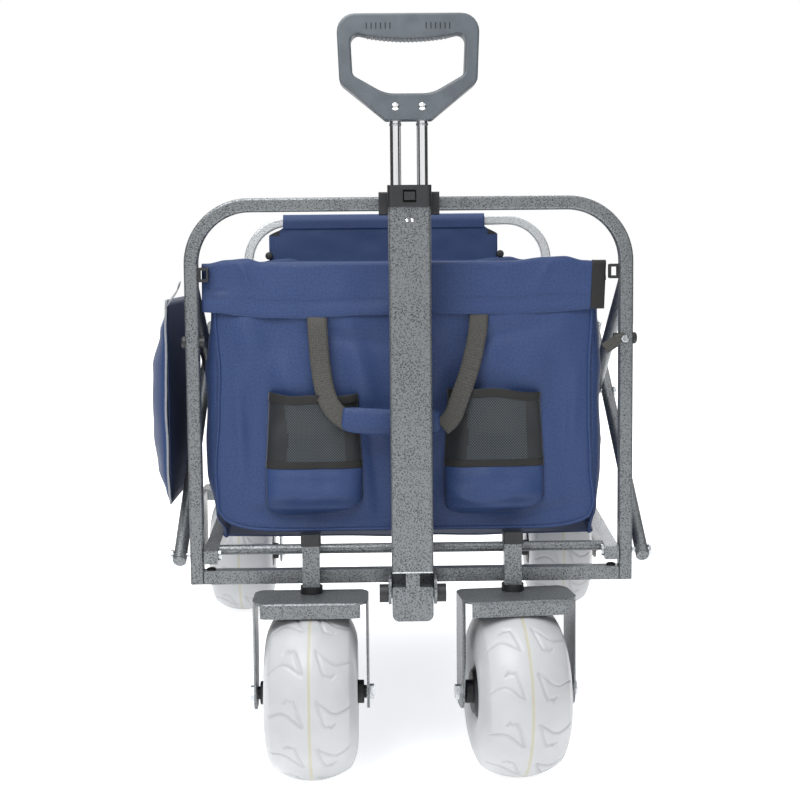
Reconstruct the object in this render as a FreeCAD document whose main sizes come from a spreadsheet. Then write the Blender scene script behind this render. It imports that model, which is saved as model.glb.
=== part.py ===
import FreeCAD, Part
import math
import os
import re
from types import SimpleNamespace
import Sketcher
from FreeCAD import Placement, Rotation, Vector

# Folding beach cart. Millimetres, +Z up, +X to the cart's right as seen from its front, +Y to its rear.
# The origin is on the ground, under the middle of the cart. Formulas count y from the front frame's
# plane, and place() moves them back to the origin.

SIZES = {
    # both frames
    "frame_width": 520, "tube_size": 16, "tube_wall": 1.5, "tube_corner": 3, "frame_top": 672,
    "frame_foot": 222, "hoop_radius": 68,
    # side scissors: pivot to crossing, crossing to middle joint, slope at rest
    "pivot_height": 256, "arm_reach": 311, "arm_tip": 155, "arm_angle": 32, "arm_size": 16,
    "arm_wall": 1.2, "arm_overhang": 10, "rim_gap": 25, "outer_plane": 272, "inner_plane": 254.5,
    "lug_reach": 25, "pin_radius": 3, "pin_hole": 3.05, "rivet_radius": 6.5, "rivet_head": 2.8,
    # floor halves
    "rail_plane": 235.2, "rail_length": 364, "rail_start": 12, "floor_slope": 5, "bar_size": 12,
    "first_bar": 13.2, "next_bar": 140,
    # casters and wheels
    "post_spacing": 235, "post_forward": 20, "post_size": 20, "post_top": 270, "cap_size": 23,
    "cap_height": 14, "caster_trail": 18, "wheel_radius": 100, "wheel_width": 106, "rear_track": 541.4,
    "fork_width": 133, "fork_depth": 76, "fork_sheet": 3, "crown_top": 213.5, "flange_height": 18,
    "crown_corner": 20, "axle_radius": 6, "axle_hole": 6.05, "hex_radius": 9,
    "hex_height": 5, "hub_radius": 30, "boss_radius": 13.5,
    "neck_radius": 7.5, "neck_length": 3, "tyre_wall": 5, "caster_turn": 6,
    # pull mast and its telescopic handle
    "mast_width": 48, "mast_depth": 22, "mast_wall": 1.5, "mast_forward": 45, "mast_pivot": 217.4,
    "knob_radius": 10.5, "knob_length": 10.4, "ear_sheet": 3.2, "mast_foot": 186, "mast_bottom": 242.6,
    "mast_top": 658.7, "collar_top": 683, "collar_width": 49.5, "collar_depth": 27, "stay_radius": 6.5,
    "stay_hole": 6.6, "stay_spacing": 30, "stay_bottom": 335, "grip_base": 754.6, "grip_top": 871,
    "grip_width": 161, "grip_depth": 30, "grip_socket": 24, "grip_block": 52, "grip_bar": 22,
    "grip_side": 16, "grip_neck": 41, "button_width": 12, "button_height": 9, "button_depth": 7,
    "clip_width": 69,
    # cloth
    "cloth": 3, "bag_width": 444, "bag_bottom": 276, "bag_rim": 597, "bag_gap": 12, "hem_width": 453,
    "hem_height": 61.5, "hem_thick": 2.4, "pocket_width": 113, "pocket_height": 143, "pocket_depth": 22,
    "pocket_bottom": 303, "pocket_place": 105.5, "strap_width": 19, "strap_grip": 10,
    "strap_grip_height": 32, "flap_width": 386, "flap_shift": 23, "flap_sheet": 2.8, "skirt_height": 54,
    "pouch_length": 300, "pouch_depth": 38, "pouch_top": 556, "pouch_bottom": 313,
    # rim brackets and side bolts
    "loop_width": 12, "loop_height": 17, "loop_depth": 10, "loop_wire": 2.5, "bolt_height": 506.6,
    "bolt_radius": 4, "bolt_head": 7, "bolt_dome": 5, "nut_radius": 6, "nut_length": 6,
}
v = SimpleNamespace(**SIZES)
SIDES = (("left", -1), ("right", 1))
PARTS = []

doc = FreeCAD.newDocument("beach_cart")
sheet = doc.addObject("Spreadsheet::Sheet", "Sizes")
for row, (word, value) in enumerate(SIZES.items(), 1):
    sheet.set(f"A{row}", word)
    sheet.set(f"B{row}", str(value))
    sheet.setAlias(f"B{row}", word)
doc.recompute()


# ---- places worked out from the driving dimensions -------------------------------------------

half_run = (v.arm_reach + v.arm_tip) * math.cos(math.radians(v.arm_angle))
rear_y = 2 * half_run + v.lug_reach
HALF_RUN = "(arm_reach + arm_tip) * cos(arm_angle)"
REAR_Y = f"2 * {HALF_RUN} + lug_reach"
ORIGIN_Y = f"({REAR_Y} - post_forward - caster_trail) / 2"
CROSS_Z = "pivot_height + arm_reach * sin(arm_angle)"
MIDDLE_TOP = "pivot_height + (arm_reach + arm_tip) * sin(arm_angle)"
MIDDLE_FOOT = "pivot_height + (arm_reach - arm_tip) * sin(arm_angle)"


# ---- helpers -------------------------------------------------------------------------------

def sheet_name(found):
    """A word of a formula, with the sheet's name put before it if it is one of the sizes."""
    word = found.group(0)
    return "Sizes." + word if word in SIZES else word


def bind(thing, name, formula):
    """Bind a property to a formula whose words are names in the sheet."""
    thing.setExpression(name, re.sub(r"[a-z_]+", sheet_name, str(formula)))


def new_body(name):
    body = doc.addObject("PartDesign::Body", name)
    body.Label = name
    return body


def keep(thing):
    """Count an object as one of the cart's sub-parts."""
    PARTS.append(thing)
    return thing


def place(thing, x=0, y=0, z=0, turn=None):
    """Put an object at a place given by three formulas, y counted from the front frame's plane."""
    thing.Placement = Placement(Vector(0, 0, 0), turn or Rotation())
    for letter, formula in zip("xyz", (x, f"{y} - ({ORIGIN_Y})", z)):
        if formula != 0:
            bind(thing, "Placement.Base." + letter, formula)
    return thing


def group(name, members):
    """Separate equal pieces that share one node."""
    whole = doc.addObject("Part::Compound", name)
    whole.Label = name
    whole.Links = members
    return keep(whole)


def about_x(degrees):
    return Rotation(Vector(1, 0, 0), degrees)


def about_z(degrees):
    return Rotation(Vector(0, 0, 1), degrees)


def new_sketch(body, plane, lift=0):
    sketch = body.newObject("Sketcher::SketchObject", body.Name + "_sketch")
    role = plane + "_Plane"
    origin_plane = next(f for f in body.Origin.OriginFeatures if f.Role == role)
    sketch.AttachmentSupport = [(origin_plane, "")]
    sketch.MapMode = "FlatFace"
    if lift != 0:
        bind(sketch, "AttachmentOffset.Base.z", lift)
    return sketch


def rule(sketch, formula, kind, *where):
    """Add a dimension and bind it to a formula."""
    number = sketch.addConstraint(Sketcher.Constraint(kind, *where, 1.0))
    bind(sketch, f"Constraints[{number}]", formula)


def rectangle(sketch, wide, high, x=None, y=None):
    """A rectangle centred on the origin, or with its low corner at x, y."""
    first = sketch.GeometryCount
    points = [Vector(-5, -5, 0), Vector(5, -5, 0), Vector(5, 5, 0), Vector(-5, 5, 0)]
    for n in range(4):
        sketch.addGeometry(Part.LineSegment(points[n], points[(n + 1) % 4]), False)
    for n in range(4):
        sketch.addConstraint(Sketcher.Constraint("Coincident", first + n, 2, first + (n + 1) % 4, 1))
        sketch.addConstraint(Sketcher.Constraint("Vertical" if n % 2 else "Horizontal", first + n))
    rule(sketch, wide, "DistanceX", first, 1, first, 2)
    rule(sketch, high, "DistanceY", first + 1, 1, first + 1, 2)
    if x is None:
        sketch.addConstraint(Sketcher.Constraint("Symmetric", first, 1, first + 1, 2, -1, 1))
    else:
        rule(sketch, x, "DistanceX", -1, 1, first, 1)
        rule(sketch, y, "DistanceY", -1, 1, first, 1)


def circle(sketch, radius, x=0, y=0):
    number = sketch.addGeometry(Part.Circle(Vector(1, 1, 0), Vector(0, 0, 1), 1), False)
    rule(sketch, radius, "Radius", number)
    if x == 0 and y == 0:
        sketch.addConstraint(Sketcher.Constraint("Coincident", number, 3, -1, 1))
    else:
        rule(sketch, x, "DistanceX", -1, 1, number, 3)
        rule(sketch, y, "DistanceY", -1, 1, number, 3)


def outline(sketch, corners, closed=True):
    """Straight runs through corners (x, y, radius), each corner rounded by a tangent arc."""
    count = len(corners)
    points = [Vector(c[0], c[1], 0) for c in corners]
    pieces = []
    leave = []
    for n, (x, y, *radius) in enumerate(corners):
        here = points[n]
        if not radius or (not closed and n in (0, count - 1)):
            leave.append((here, here))
            continue
        back = (points[n - 1] - here).normalize()
        ahead = (points[(n + 1) % count] - here).normalize()
        half = back.getAngle(ahead) / 2
        reach = radius[0] / math.tan(half)
        middle = here + (back + ahead).normalize() * (radius[0] / math.sin(half))
        crest = middle + (here - middle).normalize() * radius[0]
        start, end = here + back * reach, here + ahead * reach
        pieces.append(Part.Arc(start, crest, end))
        leave.append((start, end))
    for n in range(count if closed else count - 1):
        start, end = leave[n][1], leave[(n + 1) % count][0]
        if start.distanceToPoint(end) > 1e-6:
            pieces.append(Part.LineSegment(start, end))
    for piece in pieces:
        sketch.addGeometry(piece, False)


def feature(body, kind, sketch, length, offcentre=False, backwards=False):
    """A pad or a pocket, the same both ways from its sketch unless offcentre."""
    made = body.newObject("PartDesign::" + kind, f"{body.Name}_{kind.lower()}")
    made.Profile = sketch
    bind(made, "Length", length)
    if offcentre:
        made.Reversed = backwards
    else:
        made.Midplane = True
    sketch.Visibility = False
    return made


def pad(body, sketch, length, **how):
    return feature(body, "Pad", sketch, length, **how)


def pocket(body, sketch, length, **how):
    return feature(body, "Pocket", sketch, length, **how)


def revolve(body, sketch):
    """Turn a profile round its sketch's horizontal axis."""
    made = body.newObject("PartDesign::Revolution", body.Name + "_turned")
    made.Profile = sketch
    made.ReferenceAxis = (sketch, ["H_Axis"])
    made.Angle = 360
    return made


def slab(name, x_size, y_size, z_size):
    """A plain rectangular piece centred on its own origin."""
    body = new_body(name)
    sketch = new_sketch(body, "XY")
    rectangle(sketch, x_size, y_size)
    pad(body, sketch, z_size)
    return body


def square_tube(name, plane, outer, wall, length):
    """A square tube centred on its own origin, along the plane's normal."""
    body = new_body(name)
    sketch = new_sketch(body, plane)
    rectangle(sketch, outer, outer)
    rectangle(sketch, f"{outer} - 2 * {wall}", f"{outer} - 2 * {wall}")
    pad(body, sketch, length)
    return body


def turned(name, profile):
    """A solid of revolution about its own X axis from corners (x, radius)."""
    body = new_body(name)
    sketch = new_sketch(body, "XZ")
    outline(sketch, profile)
    revolve(body, sketch)
    return body


def pin(name, low, high, radius, head_radius, head):
    """A headed pin along X with its two heads' inner faces at low and high."""
    return turned(name, [(low - head, 0), (low - head, head_radius), (low, head_radius), (low, radius),
                         (high, radius), (high, head_radius), (high + head, head_radius),
                         (high + head, 0)])


def mirrored_turn(side):
    """Turned pieces drawn for the right side face the other way on the left."""
    return about_z(0 if side > 0 else 180)


# ---- frames ------------------------------------------------------------------------------------

def hoop(name, y):
    """An upside-down U of square tube with two bends."""
    body = new_body(name)
    path = new_sketch(body, "XZ")
    half, top = (v.frame_width - v.tube_size) / 2, v.frame_top - v.tube_size / 2
    outline(path, [(-half, v.frame_foot), (-half, top, v.hoop_radius), (half, top, v.hoop_radius),
                   (half, v.frame_foot)], closed=False)
    section = new_sketch(body, "XY", "frame_foot")
    for size, corner in ((v.tube_size / 2, v.tube_corner),
                         (v.tube_size / 2 - v.tube_wall, v.tube_corner - v.tube_wall)):
        outline(section, [(-half + i * size, j * size, corner)
                          for i, j in ((-1, -1), (1, -1), (1, 1), (-1, 1))])
    pipe = body.newObject("PartDesign::AdditivePipe", name + "_pipe")
    pipe.Profile = section
    pipe.Spine = path
    holes = new_sketch(body, "YZ")
    circle(holes, "pin_hole", 0, "pivot_height")
    circle(holes, "bolt_radius", 0, "bolt_height")
    pocket(body, holes, "frame_width + 20")
    return keep(place(body, 0, y, 0))


def cross_tube(name, y):
    body = square_tube(name, "YZ", "tube_size", "tube_wall", "frame_width - 2 * tube_size")
    return keep(place(body, 0, y, "frame_foot + tube_size / 2"))


hoop("front_hoop", 0)
hoop("rear_hoop", REAR_Y)
cross_tube("front_cross_tube", 0)
cross_tube("rear_cross_tube", REAR_Y)


# ---- side scissors -----------------------------------------------------------------------------

def arm(name, holes, length, side, plane, y, z, degrees):
    """A round tube along its own +Y with a plugged, domed foot and a hole at each joint."""
    body = new_body(name)
    ring = new_sketch(body, "XZ", "arm_overhang")
    circle(ring, "arm_size / 2")
    circle(ring, "arm_size / 2 - arm_wall")
    pad(body, ring, length + " + arm_overhang", offcentre=True, backwards=True)
    plug = new_sketch(body, "XZ", "arm_overhang + 1")
    circle(plug, "(arm_size - arm_wall) / 2")
    pad(body, plug, "1 + arm_wall", offcentre=True, backwards=True)
    bores = new_sketch(body, "YZ")
    for at in holes:
        circle(bores, "pin_hole", at, 0) if at != "0" else circle(bores, "pin_hole")
    pocket(body, bores, "arm_size + 8")
    return keep(place(body, f"{side} * {plane}", y, z, about_x(degrees)))


FULL = "arm_reach + arm_tip"
LONG_HOLES = ("0", "arm_reach", FULL)
SHORT_HOLES = ("0", "arm_tip")
for label, side in SIDES:
    arm(f"{label}_front_lower_arm", LONG_HOLES, FULL + " + arm_overhang", side, "outer_plane",
        0, "pivot_height", v.arm_angle)
    arm(f"{label}_front_upper_arm", SHORT_HOLES, FULL + " - rim_gap", side, "inner_plane",
        HALF_RUN, MIDDLE_FOOT, 180 - v.arm_angle)
    arm(f"{label}_rear_lower_arm", LONG_HOLES, FULL + " + arm_overhang", side, "inner_plane",
        "2 * " + HALF_RUN, "pivot_height", 180 - v.arm_angle)
    arm(f"{label}_rear_upper_arm", SHORT_HOLES, FULL + " - arm_size / 2", side, "outer_plane",
        HALF_RUN, MIDDLE_FOOT, v.arm_angle)

inner_face = v.inner_plane - v.arm_size / 2 - 0.2
outer_face = v.outer_plane + v.arm_size / 2 + 0.2


def scissor_pins(name, side, places):
    """Rivets through the two arm planes at some of the scissor joints."""
    made = []
    for n, (y, z) in enumerate(places):
        rivet = pin(f"{name}_{n}", inner_face, outer_face, v.pin_radius, v.rivet_radius, v.rivet_head)
        made.append(place(rivet, 0, y, z, mirrored_turn(side)))
    group(name, made)


for label, side in SIDES:
    scissor_pins(f"{label}_front_rivets", side,
                 (("arm_reach * cos(arm_angle)", CROSS_Z), (HALF_RUN, MIDDLE_TOP)))
    scissor_pins(f"{label}_rear_rivets", side,
                 ((HALF_RUN, MIDDLE_FOOT),
                  ("(arm_reach + 2 * arm_tip) * cos(arm_angle)", CROSS_Z)))

rail_face = v.rail_plane - v.tube_size / 2 - 0.2
front_pins = []
rail_pins = []
for label, side in SIDES:
    bolt = pin(f"{label}_front_pivot", rail_face, outer_face, v.pin_radius, v.rivet_radius, v.rivet_head)
    front_pins.append(place(bolt, 0, 0, "pivot_height", mirrored_turn(side)))
    bolt = pin(f"{label}_rail_pivot", rail_face, v.frame_width / 2, v.pin_radius, v.rivet_radius,
               v.rivet_head)
    rail_pins.append(place(bolt, 0, REAR_Y, "pivot_height", mirrored_turn(side)))
group("front_pivot_bolts", front_pins)
group("rear_rail_bolts", rail_pins)


def lug(name, side):
    """A folded bracket on the rear upright's front face, with the rear lower arm's pivot in it."""
    body = new_body(name)
    gap, sheet_metal, foot = v.arm_size / 2 + 0.3, 2.5, v.lug_reach - v.tube_size / 2
    profile = new_sketch(body, "XY")
    outline(profile, [(-gap - sheet_metal, -6), (-gap, -6), (-gap, foot - sheet_metal),
                      (gap, foot - sheet_metal), (gap, -6), (gap + sheet_metal, -6),
                      (gap + sheet_metal, foot), (-gap - sheet_metal, foot)])
    pad(body, profile, 20)
    bar = new_sketch(body, "YZ")
    circle(bar, "pin_radius")
    pad(body, bar, 2 * gap + sheet_metal)
    return place(body, f"{side} * inner_plane", "2 * " + HALF_RUN, "pivot_height")


group("rear_pivot_lugs", [lug(f"{label}_lug", side) for label, side in SIDES])


# ---- floor -------------------------------------------------------------------------------------

BAR_COUNT = 5


def floor_half(name, y, turn):
    """Two rails and the round bars between them, hinged at the frame and rising to the middle."""
    rails = []
    for label, side in SIDES:
        rail = new_body(f"{name}_{label}_rail")
        walls = new_sketch(rail, "XZ", "rail_start")
        rectangle(walls, "tube_size", "tube_size")
        rectangle(walls, "tube_size - 2 * tube_wall", "tube_size - 2 * tube_wall")
        pad(rail, walls, "rail_length + rail_start", offcentre=True, backwards=True)
        end = new_sketch(rail, "XZ", "rail_start")
        rectangle(end, "tube_size", "tube_size")
        pad(rail, end, "tube_wall", offcentre=True)
        bore = new_sketch(rail, "YZ")
        circle(bore, "pin_hole")
        pocket(rail, bore, "tube_size + 8")
        offset = turn.multVec(Vector(side * v.rail_plane, 0, 0))
        rails.append(place(rail, f"{offset.x:.6g}", y, "pivot_height", turn))
    group(name + "_rails", rails)
    bars = []
    for n in range(BAR_COUNT):
        bar = new_body(f"{name}_bar_{n}")
        rod = new_sketch(bar, "YZ")
        circle(rod, "bar_size / 2")
        pad(bar, rod, "2 * rail_plane - tube_size")
        last = v.rail_length - v.bar_size
        along = v.first_bar if n == 0 else v.next_bar + (last - v.next_bar) * (n - 1) / (BAR_COUNT - 2)
        offset = turn.multVec(Vector(0, along, (v.tube_size - v.bar_size) / 2))
        bars.append(place(bar, 0, f"{y} + ({offset.y:.6g})", f"pivot_height + {offset.z:.6g}", turn))
    group(name + "_bars", bars)


floor_half("front_floor", "0", about_x(v.floor_slope))
floor_half("rear_floor", REAR_Y, about_z(180).multiply(about_x(v.floor_slope)))


# ---- casters and wheels ------------------------------------------------------------------------

def fork(name):
    """A pressed fork: crown plate, two flanges and two tapering legs."""
    body = new_body(name)
    side_view = new_sketch(body, "YZ")
    half, foot, crown = v.fork_depth / 2, 17, v.crown_top
    waist, toe = crown - v.flange_height - 6, v.wheel_radius - foot
    fold, bend = 4, 12
    outline(side_view, [(-half, crown, fold), (-half, waist, bend), (-foot, toe, bend),
                        (foot, toe, bend), (half, waist, bend), (half, crown, fold)])
    pad(body, side_view, "fork_width")
    inside = "fork_width - 2 * fork_sheet"
    deep = new_sketch(body, "YZ")
    rectangle(deep, "fork_depth - 2 * fork_sheet", "crown_top", "fork_sheet - fork_depth / 2",
              "-fork_sheet")
    pocket(body, deep, inside)
    open_front = new_sketch(body, "YZ")
    rectangle(open_front, "2 * fork_depth", "crown_top", "-fork_depth", "-flange_height")
    pocket(body, open_front, inside)
    bore = new_sketch(body, "YZ")
    circle(bore, "axle_hole", 0, "wheel_radius")
    pocket(body, bore, "fork_width + 10")
    corners = new_sketch(body, "XY", "wheel_radius + 10")
    wide, corner = v.fork_width / 2, v.crown_corner
    across, along = 2 * wide, 2 * half
    outline(corners, [(-across, -along), (across, -along), (across, along), (-across, along)])
    outline(corners, [(-wide, -half, corner), (wide, -half, corner), (wide, half, corner),
                      (-wide, half, corner)])
    pocket(body, corners, "2 * crown_top")
    return body


def axle(name):
    """A bolt through both legs with a hex head and a nut."""
    body = new_body(name)
    shank = new_sketch(body, "YZ")
    circle(shank, "axle_radius")
    pad(body, shank, "fork_width + 8")
    hexagon = [Vector(v.hex_radius, 0, 0)]
    for n in range(5):
        hexagon.append(about_z(60).multVec(hexagon[-1]))
    for side in (-1, 1):
        head = new_sketch(body, "YZ", f"{side} * (fork_width / 2 + hex_height / 2 + 0.1)")
        outline(head, [(corner.x, corner.y) for corner in hexagon])
        pad(body, head, "hex_height")
    return body


def flip(point):
    """A sketch point's mirror image."""
    return Vector(-point.x, point.y, 0)


def wheel(label, x, y, turn):
    """A hollow balloon tyre on a moulded hub whose bosses reach the fork's legs."""
    half, outer, bead, wall = v.wheel_width / 2, v.wheel_radius, v.hub_radius, v.tyre_wall
    rim = 0.87 * half
    tyre = new_body(label + "_tyre")
    profile = new_sketch(tyre, "XZ")
    ends = []
    for skin, low in ((0, rim), (wall, rim - wall)):
        shoulder = Vector(0.83 * half - 0.8 * skin, 0.86 * outer - 0.6 * skin, 0)
        flank = Vector(half - skin, 0.6 * outer, 0)
        foot = Vector(low, bead, 0)
        for piece in (Part.Arc(flip(foot), flip(flank), flip(shoulder)),
                      Part.Arc(flip(shoulder), Vector(0, outer - skin, 0), shoulder),
                      Part.Arc(shoulder, flank, foot)):
            profile.addGeometry(piece, False)
        ends.append(foot)
    profile.addGeometry(Part.LineSegment(ends[0], ends[1]), False)
    profile.addGeometry(Part.LineSegment(flip(ends[0]), flip(ends[1])), False)
    revolve(tyre, profile)
    keep(place(tyre, x, y, "wheel_radius", turn))
    reach = v.fork_width / 2 - v.fork_sheet - 0.4
    disc, neck = reach - v.neck_length, v.neck_radius
    right = [(rim, v.hub_radius), (half - 0.8, v.hub_radius - 6, 2), (half - 0.8, v.boss_radius),
             (disc, v.boss_radius, 1), (disc, neck), (reach, neck), (reach, v.axle_hole)]
    hub = turned(label + "_hub", [(-x_at, *rest) for x_at, *rest in reversed(right)] + right)
    keep(place(hub, x, y, "wheel_radius", turn))


bearings = []
for label, side in SIDES:
    degrees = v.caster_turn if side > 0 else 0
    turn = about_z(degrees)
    trail = Vector(*turn.multVec(Vector(0, -v.caster_trail, 0)))
    x = f"{side} * post_spacing / 2 + ({trail.x:.6g})"
    y = f"-post_forward + ({trail.y:.6g})"
    keep(place(fork(f"{label}_caster_fork"), x, y, 0, turn))
    keep(place(axle(f"{label}_caster_axle"), x, y, "wheel_radius", turn))
    wheel(f"front_{label}", x, y, turn)
    ring = new_body(f"{label}_caster_bearing")
    face = new_sketch(ring, "XY")
    circle(face, "post_size / 2 + 3")
    pad(ring, face, "frame_foot - crown_top - 0.3", offcentre=True)
    bearings.append(place(ring, f"{side} * post_spacing / 2", "-post_forward", "crown_top + 0.3"))
group("caster_bearings", bearings)

posts = []
caps = []
for label, side in SIDES:
    post = square_tube(f"{label}_post", "XY", "post_size", "tube_wall", "post_top - frame_foot")
    posts.append(place(post, f"{side} * post_spacing / 2", "-post_forward", "(post_top + frame_foot) / 2"))
    cap = new_body(f"{label}_cap")
    plan = new_sketch(cap, "XY")
    half = v.cap_size / 2
    outline(plan, [(-half, -half, 3), (half, -half, 3), (half, half, 3), (-half, half, 3)])
    pad(cap, plan, "cap_height")
    caps.append(place(cap, f"{side} * post_spacing / 2", "-post_forward", "post_top + cap_height / 2"))
group("caster_posts", posts)
group("caster_post_caps", caps)

axles = []
for label, side in SIDES:
    x = f"{side} * rear_track / 2"
    rear_fork = fork(f"{label}_rear_fork")
    riser = new_sketch(rear_fork, "XY", "crown_top")
    rectangle(riser, "fork_width / 2", "tube_size + 6")
    pad(rear_fork, riser, "frame_foot - crown_top", offcentre=True)
    keep(place(rear_fork, x, REAR_Y, 0))
    axles.append(place(axle(f"{label}_rear_axle"), x, REAR_Y, "wheel_radius"))
    wheel(f"rear_{label}", x, REAR_Y, None)
group("rear_axles", axles)


# ---- mast --------------------------------------------------------------------------------------

MAST_Y = "-mast_forward"


def mast_yoke():
    """A bracket on the cross tube with two round-ended ears that hold the mast's foot."""
    body = new_body("mast_yoke")
    ears = new_sketch(body, "YZ")
    back, ear = -v.tube_size / 2, 14
    low = v.mast_pivot - ear
    outline(ears, [(back, v.frame_foot + v.tube_size), (-v.mast_forward - ear, v.mast_pivot + ear + 6, ear),
                   (-v.mast_forward - ear, low, ear), (back, low + 4)])
    pad(body, ears, "mast_width + 1.2 + 2 * ear_sheet")
    gap = new_sketch(body, "YZ")
    rectangle(gap, "mast_forward + 40", 120, "-mast_forward - 40 - tube_size / 2 - 3", "mast_pivot - 60")
    pocket(body, gap, "mast_width + 1.2")
    bore = new_sketch(body, "YZ")
    circle(bore, "axle_hole", MAST_Y, "mast_pivot")
    pocket(body, bore, "mast_width + 40")
    return keep(place(body))


mast_yoke()
ear_face = v.mast_width / 2 + 0.8 + v.ear_sheet
keep(place(pin("mast_pivot_bolt", -ear_face, ear_face, v.axle_radius, v.knob_radius, v.knob_length), 0,
           MAST_Y, "mast_pivot"))


def mast_tube():
    body = new_body("mast_tube")
    section = new_sketch(body, "XY", "mast_bottom")
    for inset in (0, v.mast_wall):
        half_x, half_y = v.mast_width / 2 - inset, v.mast_depth / 2 - inset
        outline(section, [(i * half_x, j * half_y, 4 - inset)
                          for i, j in ((-1, -1), (1, -1), (1, 1), (-1, 1))])
    pad(body, section, "mast_top - mast_bottom", offcentre=True)
    return keep(place(body, 0, MAST_Y, 0))


def mast_foot():
    """The hinged foot with a narrow neck that plugs into the mast."""
    body = new_body("mast_foot")
    front = new_sketch(body, "XZ")
    half, plug = v.mast_width / 2 - 0.4, v.mast_width / 2 - v.mast_wall - 2
    top = v.mast_pivot + 8.4
    outline(front, [(-half, top, 2), (-half, v.mast_foot, 8), (half, v.mast_foot, 8), (half, top, 2),
                    (8, top), (8, v.mast_bottom), (plug, v.mast_bottom), (plug, v.mast_bottom + 20, 2),
                    (-plug, v.mast_bottom + 20, 2), (-plug, v.mast_bottom), (-8, v.mast_bottom),
                    (-8, top)])
    pad(body, front, "mast_depth - 2 * mast_wall - 0.2")
    bore = new_sketch(body, "YZ")
    circle(bore, "axle_hole", 0, "mast_pivot")
    pocket(body, bore, "mast_width + 10")
    return keep(place(body, 0, MAST_Y, 0))


def collar():
    """The moulded top of the mast, with the stays' holes and the button's recess."""
    body = new_body("mast_collar")
    section = new_sketch(body, "XY", "mast_top")
    half_x, half_y = v.collar_width / 2, v.collar_depth / 2
    outline(section, [(i * half_x, j * half_y, 5) for i, j in ((-1, -1), (1, -1), (1, 1), (-1, 1))])
    pad(body, section, "collar_top - mast_top", offcentre=True)
    holes = new_sketch(body, "XY", "mast_top - 5")
    for side in (-1, 1):
        circle(holes, "stay_hole", f"{side} * stay_spacing / 2", 0)
    pocket(body, holes, 100)
    recess = new_sketch(body, "XZ", "collar_depth / 2")
    rectangle(recess, "button_width + 3", "button_height + 5", "-button_width / 2 - 1.5",
              "mast_top + 5")
    pocket(body, recess, "2 * button_depth")
    return keep(place(body, 0, MAST_Y, 0))


def mast_clip():
    """A jaw behind the mast that snaps round the front frame's top tube."""
    body = new_body("mast_clip")
    jaw = new_sketch(body, "YZ")
    back = v.collar_depth / 2 - v.mast_forward + 0.1
    high, low, bar = v.frame_top + 4.5, v.frame_top - v.tube_size - 5, v.tube_size / 2
    outline(jaw, [(back, low, 2), (bar - 3, low, 1), (bar - 3, v.frame_top - v.tube_size - 2.4),
                  (-bar - 0.5, v.frame_top - v.tube_size - 2.4), (-bar - 0.5, v.frame_top + 0.5),
                  (bar - 3, v.frame_top + 0.5), (bar - 3, high, 2), (back, high, 2)])
    pad(body, jaw, "clip_width")
    return keep(place(body))


mast_tube()
mast_foot()
collar()
mast_clip()
button = slab("release_button", "button_width", "button_depth - 1", "button_height")
keep(place(button, 0, "-mast_forward - collar_depth / 2 + 0.4", "mast_top + 5 + (button_height + 5) / 2"))


# ---- telescopic handle -------------------------------------------------------------------------

stays = []
for label, side in SIDES:
    stay = new_body(f"{label}_stay")
    ring = new_sketch(stay, "XY", "stay_bottom")
    circle(ring, "stay_radius")
    circle(ring, "stay_radius - tube_wall")
    pad(stay, ring, "grip_base + grip_socket - stay_bottom", offcentre=True)
    stays.append(place(stay, f"{side} * stay_spacing / 2", MAST_Y, 0))
group("handle_stays", stays)


def handle_grip():
    """A closed D grip: a wide bar on top, sides that fall in to a block with two sockets."""
    body = new_body("handle_grip")
    front = new_sketch(body, "XZ")
    half, base = v.grip_width / 2, v.grip_block / 2
    top, low, neck = v.grip_top, v.grip_base, v.grip_base + v.grip_neck
    waist = half - 3
    block_corner, neck_corner, top_corner = 4, 12, 20
    outline(front, [(-base, low, block_corner), (base, low, block_corner), (waist, neck, neck_corner),
                    (half, top, top_corner), (-half, top, top_corner), (-waist, neck, neck_corner)])
    pad(body, front, "grip_depth")
    hole = new_sketch(body, "XZ")
    side, brow = half - v.grip_side, top - v.grip_bar
    sill, dip = neck + 9, low + 29
    brow_corner, sill_corner, dip_corner, draft = 9, 8, 40, 2
    outline(hole, [(-side, brow, brow_corner), (side, brow, brow_corner),
                   (side - draft, sill, sill_corner), (base, dip, dip_corner),
                   (-base, dip, dip_corner), (-side + draft, sill, sill_corner)])
    pocket(body, hole, "grip_depth + 10")
    sockets = new_sketch(body, "XY", "grip_base")
    for way in (-1, 1):
        circle(sockets, "stay_radius", f"{way} * stay_spacing / 2", 0)
    pocket(body, sockets, "grip_socket", offcentre=True, backwards=True)
    return keep(place(body, 0, MAST_Y, 0))


handle_grip()


# ---- small fittings ----------------------------------------------------------------------------

def rim_bracket(label, side):
    """A two-pronged loop on the upright that the bag's corner hangs in."""
    body = new_body(f"{label}_rim_bracket")
    loop = new_sketch(body, "XZ")
    wide, half, wire = v.loop_width, v.loop_height / 2, v.loop_wire
    edge = half - wire - 1
    outline(loop, [(0, -half), (0, half), (-wide, half, 2), (-wide, -half, 2)])
    outline(loop, [(-wire, -edge), (-wire, edge), (wire - wide, edge), (wire - wide, -edge)])
    pad(body, loop, "loop_depth")
    return place(body, f"{side} * (frame_width / 2 - tube_size)", 0, "bag_rim - 12.5", mirrored_turn(side))


def side_bolt(label, side):
    """A domed bolt through the upright with its nut on the inner side."""
    out, into = v.frame_width / 2, v.frame_width / 2 - v.tube_size
    end, tip, dome_corner = into - v.nut_length, out + v.bolt_dome, 3
    bolt = turned(f"{label}_side_bolt",
                  [(end, 0), (end, v.nut_radius), (into, v.nut_radius), (into, v.bolt_radius),
                   (out, v.bolt_radius), (out, v.bolt_head), (tip, v.bolt_head, dome_corner), (tip, 0)])
    return place(bolt, 0, 0, "bolt_height", mirrored_turn(side))


group("rim_brackets", [rim_bracket(label, side) for label, side in SIDES])
group("side_bolts", [side_bolt(label, side) for label, side in SIDES])


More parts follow.
